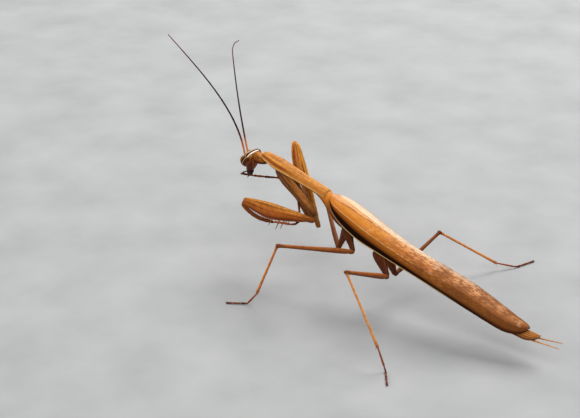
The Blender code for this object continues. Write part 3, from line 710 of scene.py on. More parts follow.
# each joint's share of the palp, and its first and last radius
MAXILLARY_JOINTS = ((0.14, 0.15, 0.15), (0.14, 0.15, 0.16), (0.24, 0.14, 0.16), (0.24, 0.14, 0.15),
                    (0.24, 0.13, 0.09))
LABIAL_JOINTS = ((0.3, 0.12, 0.13), (0.35, 0.12, 0.13), (0.35, 0.12, 0.08))
LIPS = (
    # name, place on the head, radii
    ("upper_lip", (0.0, -0.98, -3.10), (0.56, 0.26, 0.50)),
    ("lower_lip", (0.0, -0.05, -3.95), (0.50, 0.34, 0.62)),
)
JAW_PARTS = (
    # name, place on the left half, radii, lean
    ("jaw", (0.42, -0.52, -3.62), (0.40, 0.42, 0.66), 14.0),
    ("jaw_tooth", (0.20, -0.62, -4.20), (0.20, 0.20, 0.34), 30.0),
    ("maxilla", (0.50, -0.10, -3.60), (0.30, 0.34, 0.62), 8.0),
)


def walk(route, share):
    """The point at a share of a route's length."""
    steps = [(b - a).length for a, b in zip(route, route[1:])]
    rest = share * sum(steps)
    for a, b, step in zip(route, route[1:], steps):
        if rest <= step:
            return a.lerp(b, rest / step)
        rest -= step
    return route[-1].copy()


def tube(name, points, radii, roundness=2):
    """A rod of changing thickness along points on the body, with closed ends."""
    deselect_all()
    bpy.ops.curve.primitive_bezier_curve_add()
    guide = added(name)
    guide.data.splines.clear()
    spline = guide.data.splines.new("POLY")
    spline.points.add(len(points) - 1)
    for knot, point, radius in zip(spline.points, points, radii):
        knot.co = (*point, 1.0)
        knot.radius = radius
    guide.data.bevel_depth = 1.0
    guide.data.bevel_resolution = roundness
    guide.data.use_fill_caps = True
    bpy.ops.object.convert(target="MESH")
    rod = added(name)
    edit_all()
    bpy.ops.mesh.remove_doubles(threshold=0.002)
    bpy.ops.mesh.normals_make_consistent(inside=False)
    bpy.ops.object.mode_set(mode="OBJECT")
    bpy.ops.object.shade_smooth()
    last = len(points) - 1
    places = []
    for vertex in rod.data.vertices:
        nearest = min(range(len(points)), key=lambda k: (points[k] - vertex.co).length_squared)
        places.append((0.0, 0.0, nearest / last))
    mark_round(rod, places)
    return settle(rod)


def jointed(name, route, joints, roundness=2, waist=0.6):
    """A rod of joints, each (share of the length, first radius, last radius), waisted between."""
    route = [Vector(point) for point in route]
    whole = sum(share for share, _, _ in joints)
    profile = ((0.0, waist), (0.08, 0.95), (0.5, 1.0), (0.9, 1.0), (0.99, waist + 0.05))
    points, radii, done = [], [], 0.0
    for share, first, last in joints:
        for part, size in profile:
            points.append(walk(route, (done + share * part) / whole))
            radii.append((first + (last - first) * part) * size)
        done += share
    return tube(name, points, radii, roundness)


mouth_pieces = [ball(name, on_head(*place), radii) for name, place, radii in LIPS]
for side in (1, -1):
    mouth_pieces += [ball(name, on_head(side * x, y, z), radii, lean=side * lean)
                     for name, (x, y, z), radii, lean in JAW_PARTS]
    for name, route, joints in (("maxillary_palp", MAXILLARY_PALP, MAXILLARY_JOINTS),
                                ("labial_palp", LABIAL_PALP, LABIAL_JOINTS)):
        route = [on_head(side * x, y, z) for x, y, z in route]
        mouth_pieces.append(jointed(name, route, joints))
mouth = join("mouth_jaws_and_palps", mouth_pieces)


def mouth_colour(tree):
    height = sums(tree, "ADD", *from_pivot(tree)[2:])
    return ramp(tree, span(tree, height, -5.2, -2.6), (
        (0.0, (0.22, 0.10, 0.04)), (0.3, (0.05, 0.015, 0.006)), (0.55, (0.025, 0.008, 0.004)),
        (0.75, (0.06, 0.013, 0.003)), (1.0, (0.10, 0.026, 0.006)),
    ))


mouth_shell = finish_shell("mouth_shell", mouth_colour, (0.02, 0.008, 0.004), amount=0.5,
                           scale=2200.0, roughness=0.40, coat=0.1)
fit_out(mouth, mouth_shell, "dark", "mouthparts")


# The feelers. A stout first joint, a short second, then a whip of some sixty short ringed joints,
# salmon at its foot, nearly black along its middle and brown towards its thin tip.
ANTENNA_ROOT = (0.55, -1.45, 0.34)
ANTENNA_LENGTHS = {"left": 32.5, "right": 29.0}
ANTENNA_BEARINGS = {"left": (22.0, 30.0), "right": (29.0, 44.5)}
ANTENNA_CLIMBS = {"left": (82.0, 49.0), "right": (60.0, 37.0)}
ANTENNA_STEPS = 22
ANTENNA_EASE = 2.5
ANTENNA_JOINTS = 58
ANTENNA_FIRST_JOINTS = ((0.65, 0.27, 0.26), (0.45, 0.22, 0.21))
ANTENNA_RADIUS, ANTENNA_TAPER = 0.230, 0.120
# the thin tip of the right one curls back over its last steps
CURL_STEPS, CURL_WAY, CURL_SHARE = 4, (-0.30, 0.80, 0.45), 0.85


def heading(side, bearing, climb):
    """The unit vector of a bearing and a climb, in degrees, on one side of the body."""
    turn, rise = math.radians(bearing), math.radians(climb)
    level = math.cos(rise)
    return Vector((side * math.sin(turn) * level, -math.cos(turn) * level, math.sin(rise)))


def antenna_route(word, side):
    """Points along a feeler from inside its socket, bending less and less towards the tip."""
    x, y, z = ANTENNA_ROOT
    place = on_head(side * x, y, z)
    route = [on_head(side * x, y + 0.35, z - 0.12), place]
    for step in range(ANTENNA_STEPS):
        ease = 1 - (1 - (step + 0.5) / ANTENNA_STEPS) ** ANTENNA_EASE
        bearing, climb = (
            first + (last - first) * ease
            for first, last in (ANTENNA_BEARINGS[word], ANTENNA_CLIMBS[word])
        )
        way = heading(side, bearing, climb)
        if word == "right":
            curl = max(0.0, (step + CURL_STEPS - ANTENNA_STEPS) / (CURL_STEPS - 1)) ** 2
            way = way.lerp(Vector(CURL_WAY), CURL_SHARE * curl).normalized()
        place = place + way * (ANTENNA_LENGTHS[word] / ANTENNA_STEPS)
        route.append(place)
    return route


def antenna_colour(tree):
    along = place_on(tree)[2]
    tone = ramp(tree, along, (
        (0.00, (0.76, 0.38, 0.18)), (0.03, (0.76, 0.26, 0.06)), (0.09, (0.60, 0.15, 0.025)),
        (0.14, (0.16, 0.022, 0.005)), (0.22, (0.020, 0.005, 0.003)), (0.62, (0.018, 0.005, 0.003)),
        (0.80, (0.07, 0.022, 0.009)), (0.94, (0.20, 0.09, 0.04)), (1.00, (0.26, 0.13, 0.07)),
    ))
    joints = sums(tree, "FRACT", times(tree, along, float(ANTENNA_JOINTS)))
    return tint(tree, times(tree, band(tree, joints, 0.80, 1.2, 0.06), 0.18), tone,
                (0.02, 0.008, 0.006))


antenna_shell = finish_shell("feeler_shell", antenna_colour, (0.05, 0.015, 0.008), amount=0.35,
                             scale=2500.0, roughness=0.5)
for word, side in SIDES:
    joints = [*ANTENNA_FIRST_JOINTS]
    for number in range(ANTENNA_JOINTS):
        thick = ANTENNA_RADIUS - ANTENNA_TAPER * number / ANTENNA_JOINTS
        joints.append((ANTENNA_LENGTHS[word] / ANTENNA_JOINTS, thick, thick))
    feeler = jointed("feeler_" + word, antenna_route(word, side), joints, roundness=1, waist=0.90)
    fit_out(feeler, antenna_shell, "dark", "antenna_" + word)


# The forewings. Two long leathery blades folded flat over the back, the left lapping over the
# right, each with a rounded shoulder and a steep outer margin between two pale veins.
WING_STATIONS = (
    # place, half width, height of the shoulders, depth of the outer margin below them
    (0.8, 0.85, 21.95, 0.6),
    (1.4, 1.75, 21.80, 1.2),
    (3.2, 2.70, 21.22, 2.2),
    (6.0, 3.08, 20.25, 3.1),
    (10.0, 3.22, 18.65, 3.4),
    (14.0, 3.12, 17.05, 3.0),
    (18.0, 2.95, 15.65, 2.8),
    (24.0, 2.80, 13.90, 2.7),
    (30.0, 2.76, 12.50, 2.9),
    (36.0, 2.70, 11.00, 3.0),
    (42.0, 2.45, 8.95, 2.7),
    (45.6, 2.08, 7.75, 2.5),
    (48.0, 1.62, 7.15, 1.9),
    (49.5, 1.08, 6.95, 1.2),
    (50.35, 0.42, 6.86, 0.55),
)
# the share of a blade's breadth that lies flat on the back, the rest being its outer margin
FIELD_SHARE = 0.55
# how far each blade laps past the middle, in half widths, and how far it is tucked down there
LAP = {"left": 0.40, "right": 0.34}
TUCK = {"left": 0.0, "right": 0.17}
CAMBER = 0.35
# the sunken fold in front, its place across being less by the slant for each millimetre back
FOLD_PLACE, FOLD_SLANT, FOLD_WIDTH, FOLD_DEPTH = 0.34, 0.018, 0.012, 0.09
# raised veins, those of the back field upwards and those by the margin outwards: place across,
# half width, height
BACK_VEINS = ((0.20, 0.012, 0.03), (0.42, 0.012, 0.035))
EDGE_VEINS = ((0.575, 0.012, 0.07), (0.985, 0.015, 0.05))
# how far down the outer margin the black stripe begins in front, its drop for each millimetre
# back, and the furthest down that it can begin
STRIPE_START, STRIPE_DROP, STRIPE_LIMIT = 0.32, 0.0110, 0.66
# half widths out and depths down the outer margin
MARGIN = ((0.94, 0.0), (1.0, 0.22), (1.02, 0.60), (1.03, 1.0))
WING_THICKNESS = 0.14
WING_ALONG, WING_ACROSS = 90, 46
BACK_FIELD = (
    # where each part's browns begin and where they have taken over, then the browns themselves,
    # from the inner edge to the shoulder
    (0.0, 0.0, (
        (0.0, (0.86, 0.42, 0.14)), (0.20, (0.78, 0.33, 0.080)), (0.45, (0.68, 0.26, 0.035)),
        (0.72, (0.62, 0.22, 0.020)), (0.92, (0.52, 0.14, 0.010)), (1.0, (0.62, 0.20, 0.022)),
    )),
    (14.0, 22.0, (
        (0.0, (0.80, 0.38, 0.16)), (0.35, (0.70, 0.30, 0.11)), (0.55, (0.60, 0.22, 0.06)),
        (0.70, (0.40, 0.11, 0.014)), (0.85, (0.50, 0.15, 0.020)), (1.0, (0.32, 0.080, 0.010)),
    )),
    (26.0, 33.0, (
        (0.0, (0.74, 0.38, 0.18)), (0.35, (0.64, 0.30, 0.12)), (0.6, (0.54, 0.24, 0.09)),
        (0.85, (0.36, 0.13, 0.036)), (1.0, (0.20, 0.062, 0.014)),
    )),
    (40.0, 48.0, (
        (0.0, (0.46, 0.20, 0.070)), (0.6, (0.34, 0.13, 0.036)), (1.0, (0.14, 0.042, 0.010)),
    )),
)
MARGIN_LENGTH = 51.0
MARGIN_BROWNS = (
    # from the front to the rear
    (0.0, (0.42, 0.10, 0.008)), (0.10, (0.52, 0.13, 0.010)), (0.27, (0.50, 0.14, 0.012)),
    (0.43, (0.46, 0.13, 0.016)), (0.60, (0.42, 0.14, 0.028)), (0.80, (0.30, 0.10, 0.022)),
    (1.0, (0.16, 0.045, 0.010)),
)
MARGIN_BLACKS = (
    (0.0, (0.012, 0.002, 0.0)), (0.55, (0.010, 0.002, 0.0)), (0.75, (0.035, 0.008, 0.002)),
    (1.0, (0.07, 0.020, 0.006)),
)


def smooth_at(stations, y):
    """The other values of the stations at y, by a smooth curve through their rows."""
    last = len(stations) - 1
    index = next((k for k in range(last) if y <= stations[k + 1][0]), last - 1)
    low, high = stations[index], stations[index + 1]
    before, after = stations[max(index - 1, 0)], stations[min(index + 2, last)]
    gap = high[0] - low[0]
    share = (y - low[0]) / gap
    values = []
    for column in range(1, len(low)):
        first = (high[column] - before[column]) / (high[0] - before[0]) * gap
        second = (after[column] - low[column]) / (after[0] - low[0]) * gap
        cubic, square = share ** 3, share ** 2
        values.append(
            low[column] * (2 * cubic - 3 * square + 1) + first * (cubic - 2 * square + share)
            + high[column] * (3 * square - 2 * cubic) + second * (cubic - square)
        )
    return values


def ridge(value, centre, half_width, height):
    return height * math.exp(-((value - centre) / half_width) ** 2)


def station_place(stations, length_share):
    """The place along a wing, with the points drawn together towards the rear."""
    first, last = stations[0][0], stations[-1][0]
    return first + (last - first) * math.sin(0.5 * math.pi * length_share)


def tegmen_point(word, length_share, share):
    """A point on a left forewing's upper face; the right one is its mirror image."""
    y = station_place(WING_STATIONS, length_share)
    half, top, depth = smooth_at(WING_STATIONS, y)
    inner, shoulder = -LAP[word] * half, half * MARGIN[0][0]
    if share <= FIELD_SHARE:
        x = inner + (shoulder - inner) * share / FIELD_SHARE
        z = CAMBER * (1 - (x / shoulder) ** 2) * min(half, 1.0)
        z -= TUCK[word] * min(1.0, max(0.0, 1.5 - x / (0.5 * half))) * min(half, 1.0)
        z += ridge(share, FOLD_PLACE - FOLD_SLANT * y, FOLD_WIDTH, -FOLD_DEPTH)
        z += sum(ridge(share, *vein) for vein in BACK_VEINS)
    else:
        down = (share - FIELD_SHARE) / (1 - FIELD_SHARE)
        wide, deep = smooth_at([(k / 3, *row) for k, row in enumerate(MARGIN)], down)
        x, z = half * wide, -depth * deep
    x += sum(ridge(share, *vein) for vein in EDGE_VEINS)
    return Vector((x, y, top + z))


def wing_sheet(name, along, across, thickness, point_at, side):
    """A thin blade from a flat grid, shaped point by point, smoothed and given its thickness."""
    deselect_all()
    bpy.ops.mesh.primitive_grid_add(x_subdivisions=along, y_subdivisions=across, size=1.0)
    sheet = added(name)
    for vertex in sheet.data.vertices:
        x, y, z = point_at(vertex.co.x + 0.5, vertex.co.y + 0.5)
        vertex.co = (side * x, y, z)
    if sum(face.normal.z for face in sheet.data.polygons) < 0:
        edit_all()
        bpy.ops.mesh.flip_normals()
        bpy.ops.object.mode_set(mode="OBJECT")
    rounding = sheet.modifiers.new("rounding", "SUBSURF")
    rounding.levels = rounding.render_levels = 1
    wall = sheet.modifiers.new("wall", "SOLIDIFY")
    wall.thickness = thickness
    wall.offset = -1.0
    bpy.ops.object.modifier_apply(modifier="rounding")
    bpy.ops.object.modifier_apply(modifier="wall")
    bpy.ops.object.shade_smooth()
    return settle(sheet)


# the net of small cells between a wing's veins, slanting across it
net, given, out = new_group(
    "wing_net",
    {"Along": "number", "Across": "number", "Slant": "number", "Fineness": "number"},
    {"Line": "number", "Height": "number"},
)
slid = sums(net, "MULTIPLY_ADD", given.outputs["Across"], given.outputs["Slant"],
            given.outputs["Along"])
cells = add(net, "CombineXYZ", {0: times(net, slid, 0.62), 1: given.outputs["Across"]})
lines = add(net, "TexVoronoi", {"Vector": cells.outputs[0], "Scale": given.outputs["Fineness"]},
            feature="DISTANCE_TO_EDGE").outputs["Distance"]
thin = span(net, lines, 0.03, 0.17, 1.0, 0.0)
swell = span(net, lines, 0.0, 0.16, 1.0, 0.0)
net.links.new(thin, out.inputs["Line"])
net.links.new(swell, out.inputs["Height"])


def wing_places(tree):
    """Place along the wing in millimetres, and share across it, from its own UV map."""
    spread = add(tree, "SeparateXYZ", {0: add(tree, "TexCoord").outputs["UV"]}).outputs
    quarter = sums(tree, "SINE", times(tree, spread[0], math.pi / 2))
    first, last = WING_STATIONS[0][0], WING_STATIONS[-1][0]
    return sums(tree, "MULTIPLY_ADD", quarter, last - first, first), spread[1]


def netting(tree, along, across, slant, fineness):
    """The net on a wing, with its line and height."""
    return add(tree, "Group", {"Along": along, "Across": across, "Slant": slant,
                               "Fineness": fineness}, node_tree=net).outputs


def tegmen_finish():
    material, tree, shader = new_finish("forewing_leather", {
        "Roughness": 0.55, "Specular IOR Level": 0.04, "Coat Roughness": 0.22,
    })
    along, share = wing_places(tree)
    cloud = noise(tree, 420.0, 4.0)
    field = sums(tree, "DIVIDE", share, FIELD_SHARE)
    down = sums(tree, "DIVIDE", sums(tree, "SUBTRACT", share, FIELD_SHARE), 1 - FIELD_SHARE)
    back = ramp(tree, field, BACK_FIELD[0][2])
    for first, last, browns in BACK_FIELD[1:]:
        back = tint(tree, span(tree, along, first, last), back, ramp(tree, field, browns))
    # the outer margin: brown under the shoulder, then a black stripe that narrows to the rear
    length = sums(tree, "DIVIDE", along, MARGIN_LENGTH)
    stripe = sums(tree, "MULTIPLY_ADD", along, STRIPE_DROP, STRIPE_START)
    edge = sums(tree, "SUBTRACT", down, sums(tree, "MINIMUM", stripe, STRIPE_LIMIT))
    side = tint(tree, span(tree, edge, -0.14, 0.20), ramp(tree, length, MARGIN_BROWNS),
                ramp(tree, length, MARGIN_BLACKS))
    clear = span(tree, edge, 0.10, -0.10)
    rim = times(tree, span(tree, down, 0.925, 0.95), span(tree, along, 26.0, 36.0, 1.0, 0.0))
    side = tint(tree, rim, side, (0.62, 0.40, 0.16))
    colour = tint(tree, span(tree, down, 0.0, 0.05), back, side)
    # the pale shoulder vein, the dark fold line near the front and the paler field inside it
    vein = times(tree, band(tree, share, 0.560, 0.592, 0.006),
                 span(tree, along, 22.0, 32.0, 0.95, 0.0))
    colour = tint(tree, vein, colour, (0.86, 0.58, 0.20))
    line = sums(tree, "MULTIPLY_ADD", along, FOLD_SLANT, share)
    line = sums(tree, "MULTIPLY_ADD", cloud, 0.14, sums(tree, "ADD", line, -0.07))
    fold = times(tree, band(tree, line, 0.322, 0.362, 0.012), 0.9,
                 band(tree, along, 2.0, 16.0, 1.5))
    colour = tint(tree, fold, colour, (0.26, 0.062, 0.010))
    inside = times(tree, span(tree, line, 0.345, 0.315), span(tree, along, 26.0, 16.0, end=0.6))
    colour = tint(tree, inside, colour, (0.84, 0.45, 0.23))
    # a painted highlight in pale cream lines along the inner edge and over the right wing, fading
    # to the rear, with a little coat there
    where = add(tree, "SeparateXYZ", {0: add(tree, "TexCoord").outputs["Object"]}).outputs
    beside = times(tree, sums(tree, "SUBTRACT", where[0], BODY.x), 1 / MM)
    painted_highlight = times(tree, span(tree, beside, -0.9, -1.5), span(tree, beside, -3.1, -2.75),
                 span(tree, along, 0.5, 2.5), span(tree, along, 24.0, 40.0, 1.0, 0.15),
                 span(tree, down, 0.05, 0.0))
    lines = sums(tree, "MULTIPLY_ADD", share, 90.0, times(tree, cloud, 3.0))
    lines = span(tree, sums(tree, "SINE", lines), -0.4, 0.9, 0.40, 0.95)
    colour = tint(tree, times(tree, painted_highlight, lines), colour, (1.0, 0.88, 0.64))
    tree.links.new(times(tree, painted_highlight, 0.1), shader.inputs["Coat Weight"])
    # long veins, the net of cells between them, and mottling that grows to the rear
    line, height = netting(tree, along, times(tree, share, 8.0), 1.1, 1.1)
    behind = times(tree, span(tree, along, 8.0, 28.0, 0.15, 0.95), clear,
                   span(tree, painted_highlight, 0.0, 1.0, 1.0, 0.4))
    colour = tint(tree, times(tree, line, behind), colour, (0.22, 0.068, 0.016))
    strand = sums(tree, "ADD", times(tree, share, 21.0), times(tree, along, 0.070))
    strand = times(tree, band(tree, sums(tree, "FRACT", strand), 0.42, 0.56, 0.05), clear)
    colour = tint(tree, times(tree, strand, 0.65), colour, (0.32, 0.09, 0.016))
    specks = times(tree, span(tree, cloud, 0.47, 0.62), behind, 0.75)
    colour = tint(tree, specks, colour, (0.20, 0.065, 0.018))
    pale = times(tree, span(tree, cloud, 0.44, 0.30), behind, 0.4, span(tree, down, 0.1, 0.0))
    colour = tint(tree, pale, colour, (0.80, 0.50, 0.32))
    tree.links.new(colour, shader.inputs["Base Color"])
    roughen(tree, shader, sums(tree, "ADD", height, times(tree, strand, 1.2)), 0.02, 0.5)
    return material


forewing_leather = tegmen_finish()
for word, side in SIDES:
    blade = wing_sheet("forewing_" + word, WING_ALONG, WING_ACROSS, WING_THICKNESS,
                       lambda u, v, word=word: tegmen_point(word, u, v), side)
    fit_out(blade, forewing_leather, "wing", "tegmen_" + word)


# The hind wings. Thin skins folded like a fan under the forewings: they show only as two pleated
# orange-brown lobes that pass the forewings' tips.
HINDWING_STATIONS = (
    # place, width of one side, height of its top, droop of its outer edge
    (40.0, 1.00, 8.60, 0.0),
    (44.0, 1.15, 7.20, 0.2),
    (46.5, 1.42, 6.70, 1.30),
    (49.0, 1.42, 6.40, 1.55),
    (50.4, 1.38, 6.24, 1.50),
    (51.5, 1.16, 6.12, 1.18),
    (52.5, 0.74, 6.02, 0.62),
    (53.05, 0.30, 5.96, 0.15),
)
# how far a hind wing keeps from the middle and below the forewings
HINDWING_GAP = 0.10
HINDWING_THICKNESS = 0.12
HINDWING_ALONG, HINDWING_ACROSS = 40, 30
PLEATS, PLEAT_HEIGHT = 5, 0.055
DROOP_POWER = 1.6


def hindwing_point(length_share, share):
    """A point on the left hind wing's upper face, its outer edge drooping."""
    y = station_place(HINDWING_STATIONS, length_share)
    width, top, droop = smooth_at(HINDWING_STATIONS, y)
    pleat = PLEAT_HEIGHT * math.cos(share * 2 * math.pi * PLEATS) * min(1.0, width)
    height = top - HINDWING_GAP + pleat - droop * share ** DROOP_POWER
    return Vector((HINDWING_GAP + width * share, y, height))


hindwing_membrane, tree, shader = new_finish("hindwing_membrane", {
    "Roughness": 0.5, "Specular IOR Level": 0.08,
})
length, share = add(tree, "SeparateXYZ", {0: add(tree, "TexCoord").outputs["UV"]}).outputs[:2]
tone = ramp(tree, sums(tree, "FRACT", times(tree, share, float(PLEATS))), (
    (0.0, (0.72, 0.31, 0.080)), (0.5, (0.24, 0.066, 0.011)), (1.0, (0.72, 0.31, 0.080)),
))
line, height = netting(tree, times(tree, length, 26.0), times(tree, share, 3.0), 0.4, 2.2)
tone = tint(tree, times(tree, line, 0.35), tone, (0.16, 0.045, 0.010))
tone = tint(tree, span(tree, share, 0.55, 0.90, end=0.8), tone, (0.09, 0.022, 0.004))
tree.links.new(tone, shader.inputs["Base Color"])
roughen(tree, shader, height, 0.02)
for word, side in SIDES:
    blade = wing_sheet("hindwing_tip_" + word, HINDWING_ALONG, HINDWING_ACROSS,
                       HINDWING_THICKNESS, hindwing_point, side)
    fit_out(blade, hindwing_membrane, "wing", "hindwing_" + word)


# The tail feelers. Two soft tapering rods of bead-like joints at the tail, pale brown, that feel
# for what is behind the animal.
CERCUS_BEADS = 13
# the near and far radius of the first bead, and how much thinner each next one is
CERCUS_RADII, CERCUS_TAPER = (0.25, 0.245), 0.013
TAIL = (0, 49.0, 5.0)


def mesh_points(node):
    return [(vertex.co - BODY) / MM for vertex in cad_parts[node].data.vertices]


def long_ends(node, near):
    """The middles of a long CAD node's two ends, the one nearest to a point first."""
    points = mesh_points(node)
    first = max(points, key=lambda point: (point - points[0]).length)
    last = max(points, key=lambda point: (point - first).length)
    axis = (last - first).normalized()
    ends = []
    for end in (first, last):
        close = [point for point in points if abs((point - end).dot(axis)) < 0.2]
        ends.append(sum(close, Vector()) / len(close))
    return sorted(ends, key=lambda point: (point - Vector(near)).length)


def cercus_colour(tree):
    return ramp(tree, place_on(tree)[2], (
        (0.0, (0.50, 0.17, 0.03)), (0.5, (0.70, 0.30, 0.09)), (1.0, (0.62, 0.30, 0.13)),
    ))


cercus_shell = finish_shell("cercus_shell", cercus_colour, (0.14, 0.045, 0.015), amount=0.5,
                            scale=2200.0, roughness=0.5)
for word in ("left", "right"):
    beads = [(1.0, *[radius - CERCUS_TAPER * number for radius in CERCUS_RADII])
             for number in range(CERCUS_BEADS)]
    root, tip = long_ends("cercus_" + word, TAIL)
    cercus = jointed("tail_feeler_" + word, [root.lerp(tip, -0.08), tip], beads)
    fit_out(cercus, cercus_shell, "leg", "cercus_" + word)


# The forelegs' coxae. The long first pieces, hinged under the pronotum's swelling: ribbed prisms of
# brown shell with dark lengthwise stripes and a row of fine teeth down the front edge.
FORE_COXA_RINGS = (
    # share of the length, half breadth, half depth
    (-0.155, 0.30, 0.60), (-0.13, 0.50, 1.10), (-0.04, 0.66, 1.58), (0.08, 0.80, 1.75),
    (0.20, 0.82, 1.72), (0.36, 0.76, 1.52), (0.60, 0.74, 1.38), (0.80, 0.70, 1.24),
    (0.92, 0.66, 1.08), (0.985, 0.58, 0.88), (1.03, 0.38, 0.54),
)
# how far the hip end and the far end stand inwards and back of the coxa's own middle line
FORE_COXA_SHIFTS = ((0.20, 0.40), (0.32, 0.64))
TOOTH_PLACES = (0.14, 0.22, 0.30, 0.38, 0.46, 0.54, 0.62, 0.70, 0.78, 0.86)
TOOTH_LENGTH, TOOTH_THICKNESS, TOOTH_LEAN = 0.26, 0.07, 0.4
# how deep in the shell a tooth's foot stands, as a share of the depth there
TOOTH_SEAT = 0.97


def ribbed(count, ribs, depth):
    """A round outline with ribs standing out of it."""
    outline = []
    for step in range(count):
        angle = 2 * math.pi * step / count
        reach = 1 + depth * math.cos(ribs * angle)
        outline.append((math.sin(angle) * reach, -math.cos(angle) * reach))
    return outline


def run_along(start, end, rings):
    """Rings by share of the length turned into rings by distance from the start."""
    length = (Vector(end) - Vector(start)).length
    return [(ring[0] * length, *ring[1:]) for ring in rings]


spike = grow("spike", ((0.0, 1.0, 1.0), (0.35, 0.72, 0.72), (0.75, 0.38, 0.38), (1.0, 0.10, 0.10)),
             sides=8, smoothing=1)
for held in spike.data.attributes["shape"].data:
    held.vector = (0.0, 0.0, 2.0 + held.vector.z)


def plant(place, direction, length, thickness):
    """A copy of the spike standing on a limb."""
    pick(spike)
    bpy.ops.object.duplicate()
    copy = bpy.context.active_object
    copy.scale = (thickness, thickness, length)
    bpy.ops.object.transform_apply(scale=True)
    return settle(copy, place, direction, Vector(direction).orthogonal())


def streaked(rows, streak, share=0.5, ends=None):
    """A maker of colours from back to underside, with lengthwise streaks and dark spine tips."""
    def colour_of(tree):
        along = place_on(tree)[2]
        colour = tint(tree, times(tree, streaks(tree), share), down_ramp(tree, rows), streak)
        if ends:
            foot = span(tree, along, 0.0, 0.10, 1.0, 0.0)
            far_end = band(tree, along, 0.93, 1.2, 0.05)
            reach = times(tree, sums(tree, "MAXIMUM", foot, far_end), 0.7)
            colour = tint(tree, reach, colour, ends)
        tips = span(tree, along, 2.25, 2.75)
        return tint(tree, tips, colour, (0.03, 0.010, 0.005))
    return colour_of


coxa_brown = streaked((
    (0.0, (0.55, 0.20, 0.040)), (0.30, (0.46, 0.15, 0.028)), (0.46, (0.12, 0.036, 0.007)),
    (0.55, (0.42, 0.145, 0.028)), (0.70, (0.085, 0.025, 0.005)), (0.82, (0.40, 0.13, 0.024)),
    (1.0, (0.30, 0.09, 0.016)),
), (0.06, 0.022, 0.006), 0.75)


def coxa_tone(tree):
    """The coxa's brown, with painted shade towards the hip under the pronotum's edge, and darkening
    at the far end.
    """
    along = place_on(tree)[2]
    # painted shade near the hip, where the pronotum's edge shadows the coxa
    colour = tint(tree, span(tree, along, 0.05, 0.5, 0.6, 0.0), coxa_brown(tree),
                  (0.06, 0.020, 0.004))
    return tint(tree, span(tree, along, 0.80, 0.96, end=0.75), colour, (0.13, 0.038, 0.007))


fore_coxa_shell = finish_shell("fore_coxa_shell", coxa_tone, (0.05, 0.016, 0.004), amount=0.4,
                               scale=1200.0)
fore_roots, fore_knees = {}, {}
for word, side in SIDES:
    ends = long_ends("fore_coxa_" + word, (0, -14.0, 25.0))
    fore_roots[word], fore_knees[word] = long_ends("fore_femur_" + word, ends[1])
    hip, end = (place + Vector((-inwards * side, back, 0.0))
                for place, (inwards, back) in zip(ends, FORE_COXA_SHIFTS))
    coxa = grow("fore_coxa_prism", run_along(hip, end, FORE_COXA_RINGS),
                outline=ribbed(24, 6, 0.035))
    settle(coxa, hip, end - hip, (0, 0, -1))
    along = (end - hip).normalized()
    front_edge = square_to((0, 0, -1), along)
    depths = [(part, depth) for part, _, depth in FORE_COXA_RINGS]
    teeth = []
    for part in TOOTH_PLACES:
        foot = hip.lerp(end, part) + front_edge * between(depths, part) * TOOTH_SEAT
        lean = front_edge + along * TOOTH_LEAN
        teeth.append(plant(foot, lean, TOOTH_LENGTH, TOOTH_THICKNESS))
    fit_out(join("fore_coxa_" + word + "_prism", [coxa, *teeth]), fore_coxa_shell, "leg",
            "fore_coxa_" + word)


# The forelegs' femora. Each begins with the short trochanter and swells into a deep flat blade of
# orange-brown shell, whose grooved lower edge carries rows of dark-tipped spines that the tibia
# shuts on.
FORE_UNDERSIDES = {"left": (0.0, -0.3, -1.0), "right": (-0.34, -0.94, 0.0)}
FORE_FEMUR_RINGS = (
    # distance from the hip end, height of the back edge, depth of the spined edge, half breadth
    (-0.35, 0.30, 0.40, 0.30), (-0.1, 0.52, 0.62, 0.48), (0.6, 0.62, 0.70, 0.56),
    (1.4, 0.62, 0.72, 0.52), (1.75, 0.60, 0.72, 0.48), (2.1, 0.72, 0.88, 0.56),
    (3.4, 0.95, 1.20, 0.62), (6.4, 1.12, 1.75, 0.70), (9.0, 1.36, 2.20, 0.74),
    (11.2, 1.50, 2.50, 0.74), (12.8, 1.50, 2.50, 0.70), (14.4, 1.42, 2.20, 0.62),
    (17.0, 1.28, 1.40, 0.52), (18.3, 1.12, 1.10, 0.50), (18.9, 0.92, 0.95, 0.44),
    (19.25, 0.60, 0.62, 0.28),
)
FORE_FEMUR_OUTLINE = (
    # across and down, from the back edge to the groove between the rows of spines
    (0.0, -1.0), (0.34, -0.95), (0.62, -0.82), (0.84, -0.55), (0.96, -0.20), (1.0, 0.15),
    (0.92, 0.45), (0.78, 0.72), (0.66, 0.92), (0.50, 1.02), (0.28, 0.98), (0.0, 0.86),
)
# distance from the hip end and length of each spine
OUTER_SPINES = ((7.7, 2.3), (8.9, 2.5), (11.2, 1.8), (13.8, 1.4))
INNER_SPINES = tuple((7.6 + 0.78 * k, 1.25 if k % 2 else 0.7) for k in range(13))
MIDDLE_SPINES = ((6.6, 0.9), (7.3, 1.5), (8.0, 0.9))
# the side of the groove each row stands on, its spines, and how far they splay
SPINE_ROWS = ((1, OUTER_SPINES, 0.50), (-1, INNER_SPINES, 0.45), (0, MIDDLE_SPINES, 0.0))
GROOVE_HALF, SPINE_SEAT, SPINE_LEAN = 0.34, 0.93, 0.30
FEMUR_BROWNS = {
    # from the back edge to the spined edge; the right one is paler all over as painted light on the
    # far femur
    "left": ((0.0, (0.86, 0.37, 0.065)), (0.20, (0.78, 0.25, 0.038)), (0.38, (0.62, 0.175, 0.022)),
             (0.44, (0.36, 0.085, 0.012)), (0.50, (0.56, 0.15, 0.018)), (0.70, (0.46, 0.11, 0.013)),
             (0.83, (0.15, 0.028, 0.005)), (0.92, (0.36, 0.09, 0.013)), (1.0, (0.48, 0.15, 0.025))),
    "right": ((0.0, (0.95, 0.46, 0.085)), (0.30, (0.95, 0.38, 0.06)), (0.70, (0.80, 0.26, 0.035)),
              (0.88, (0.55, 0.14, 0.018)), (1.0, (0.70, 0.24, 0.04))),
}


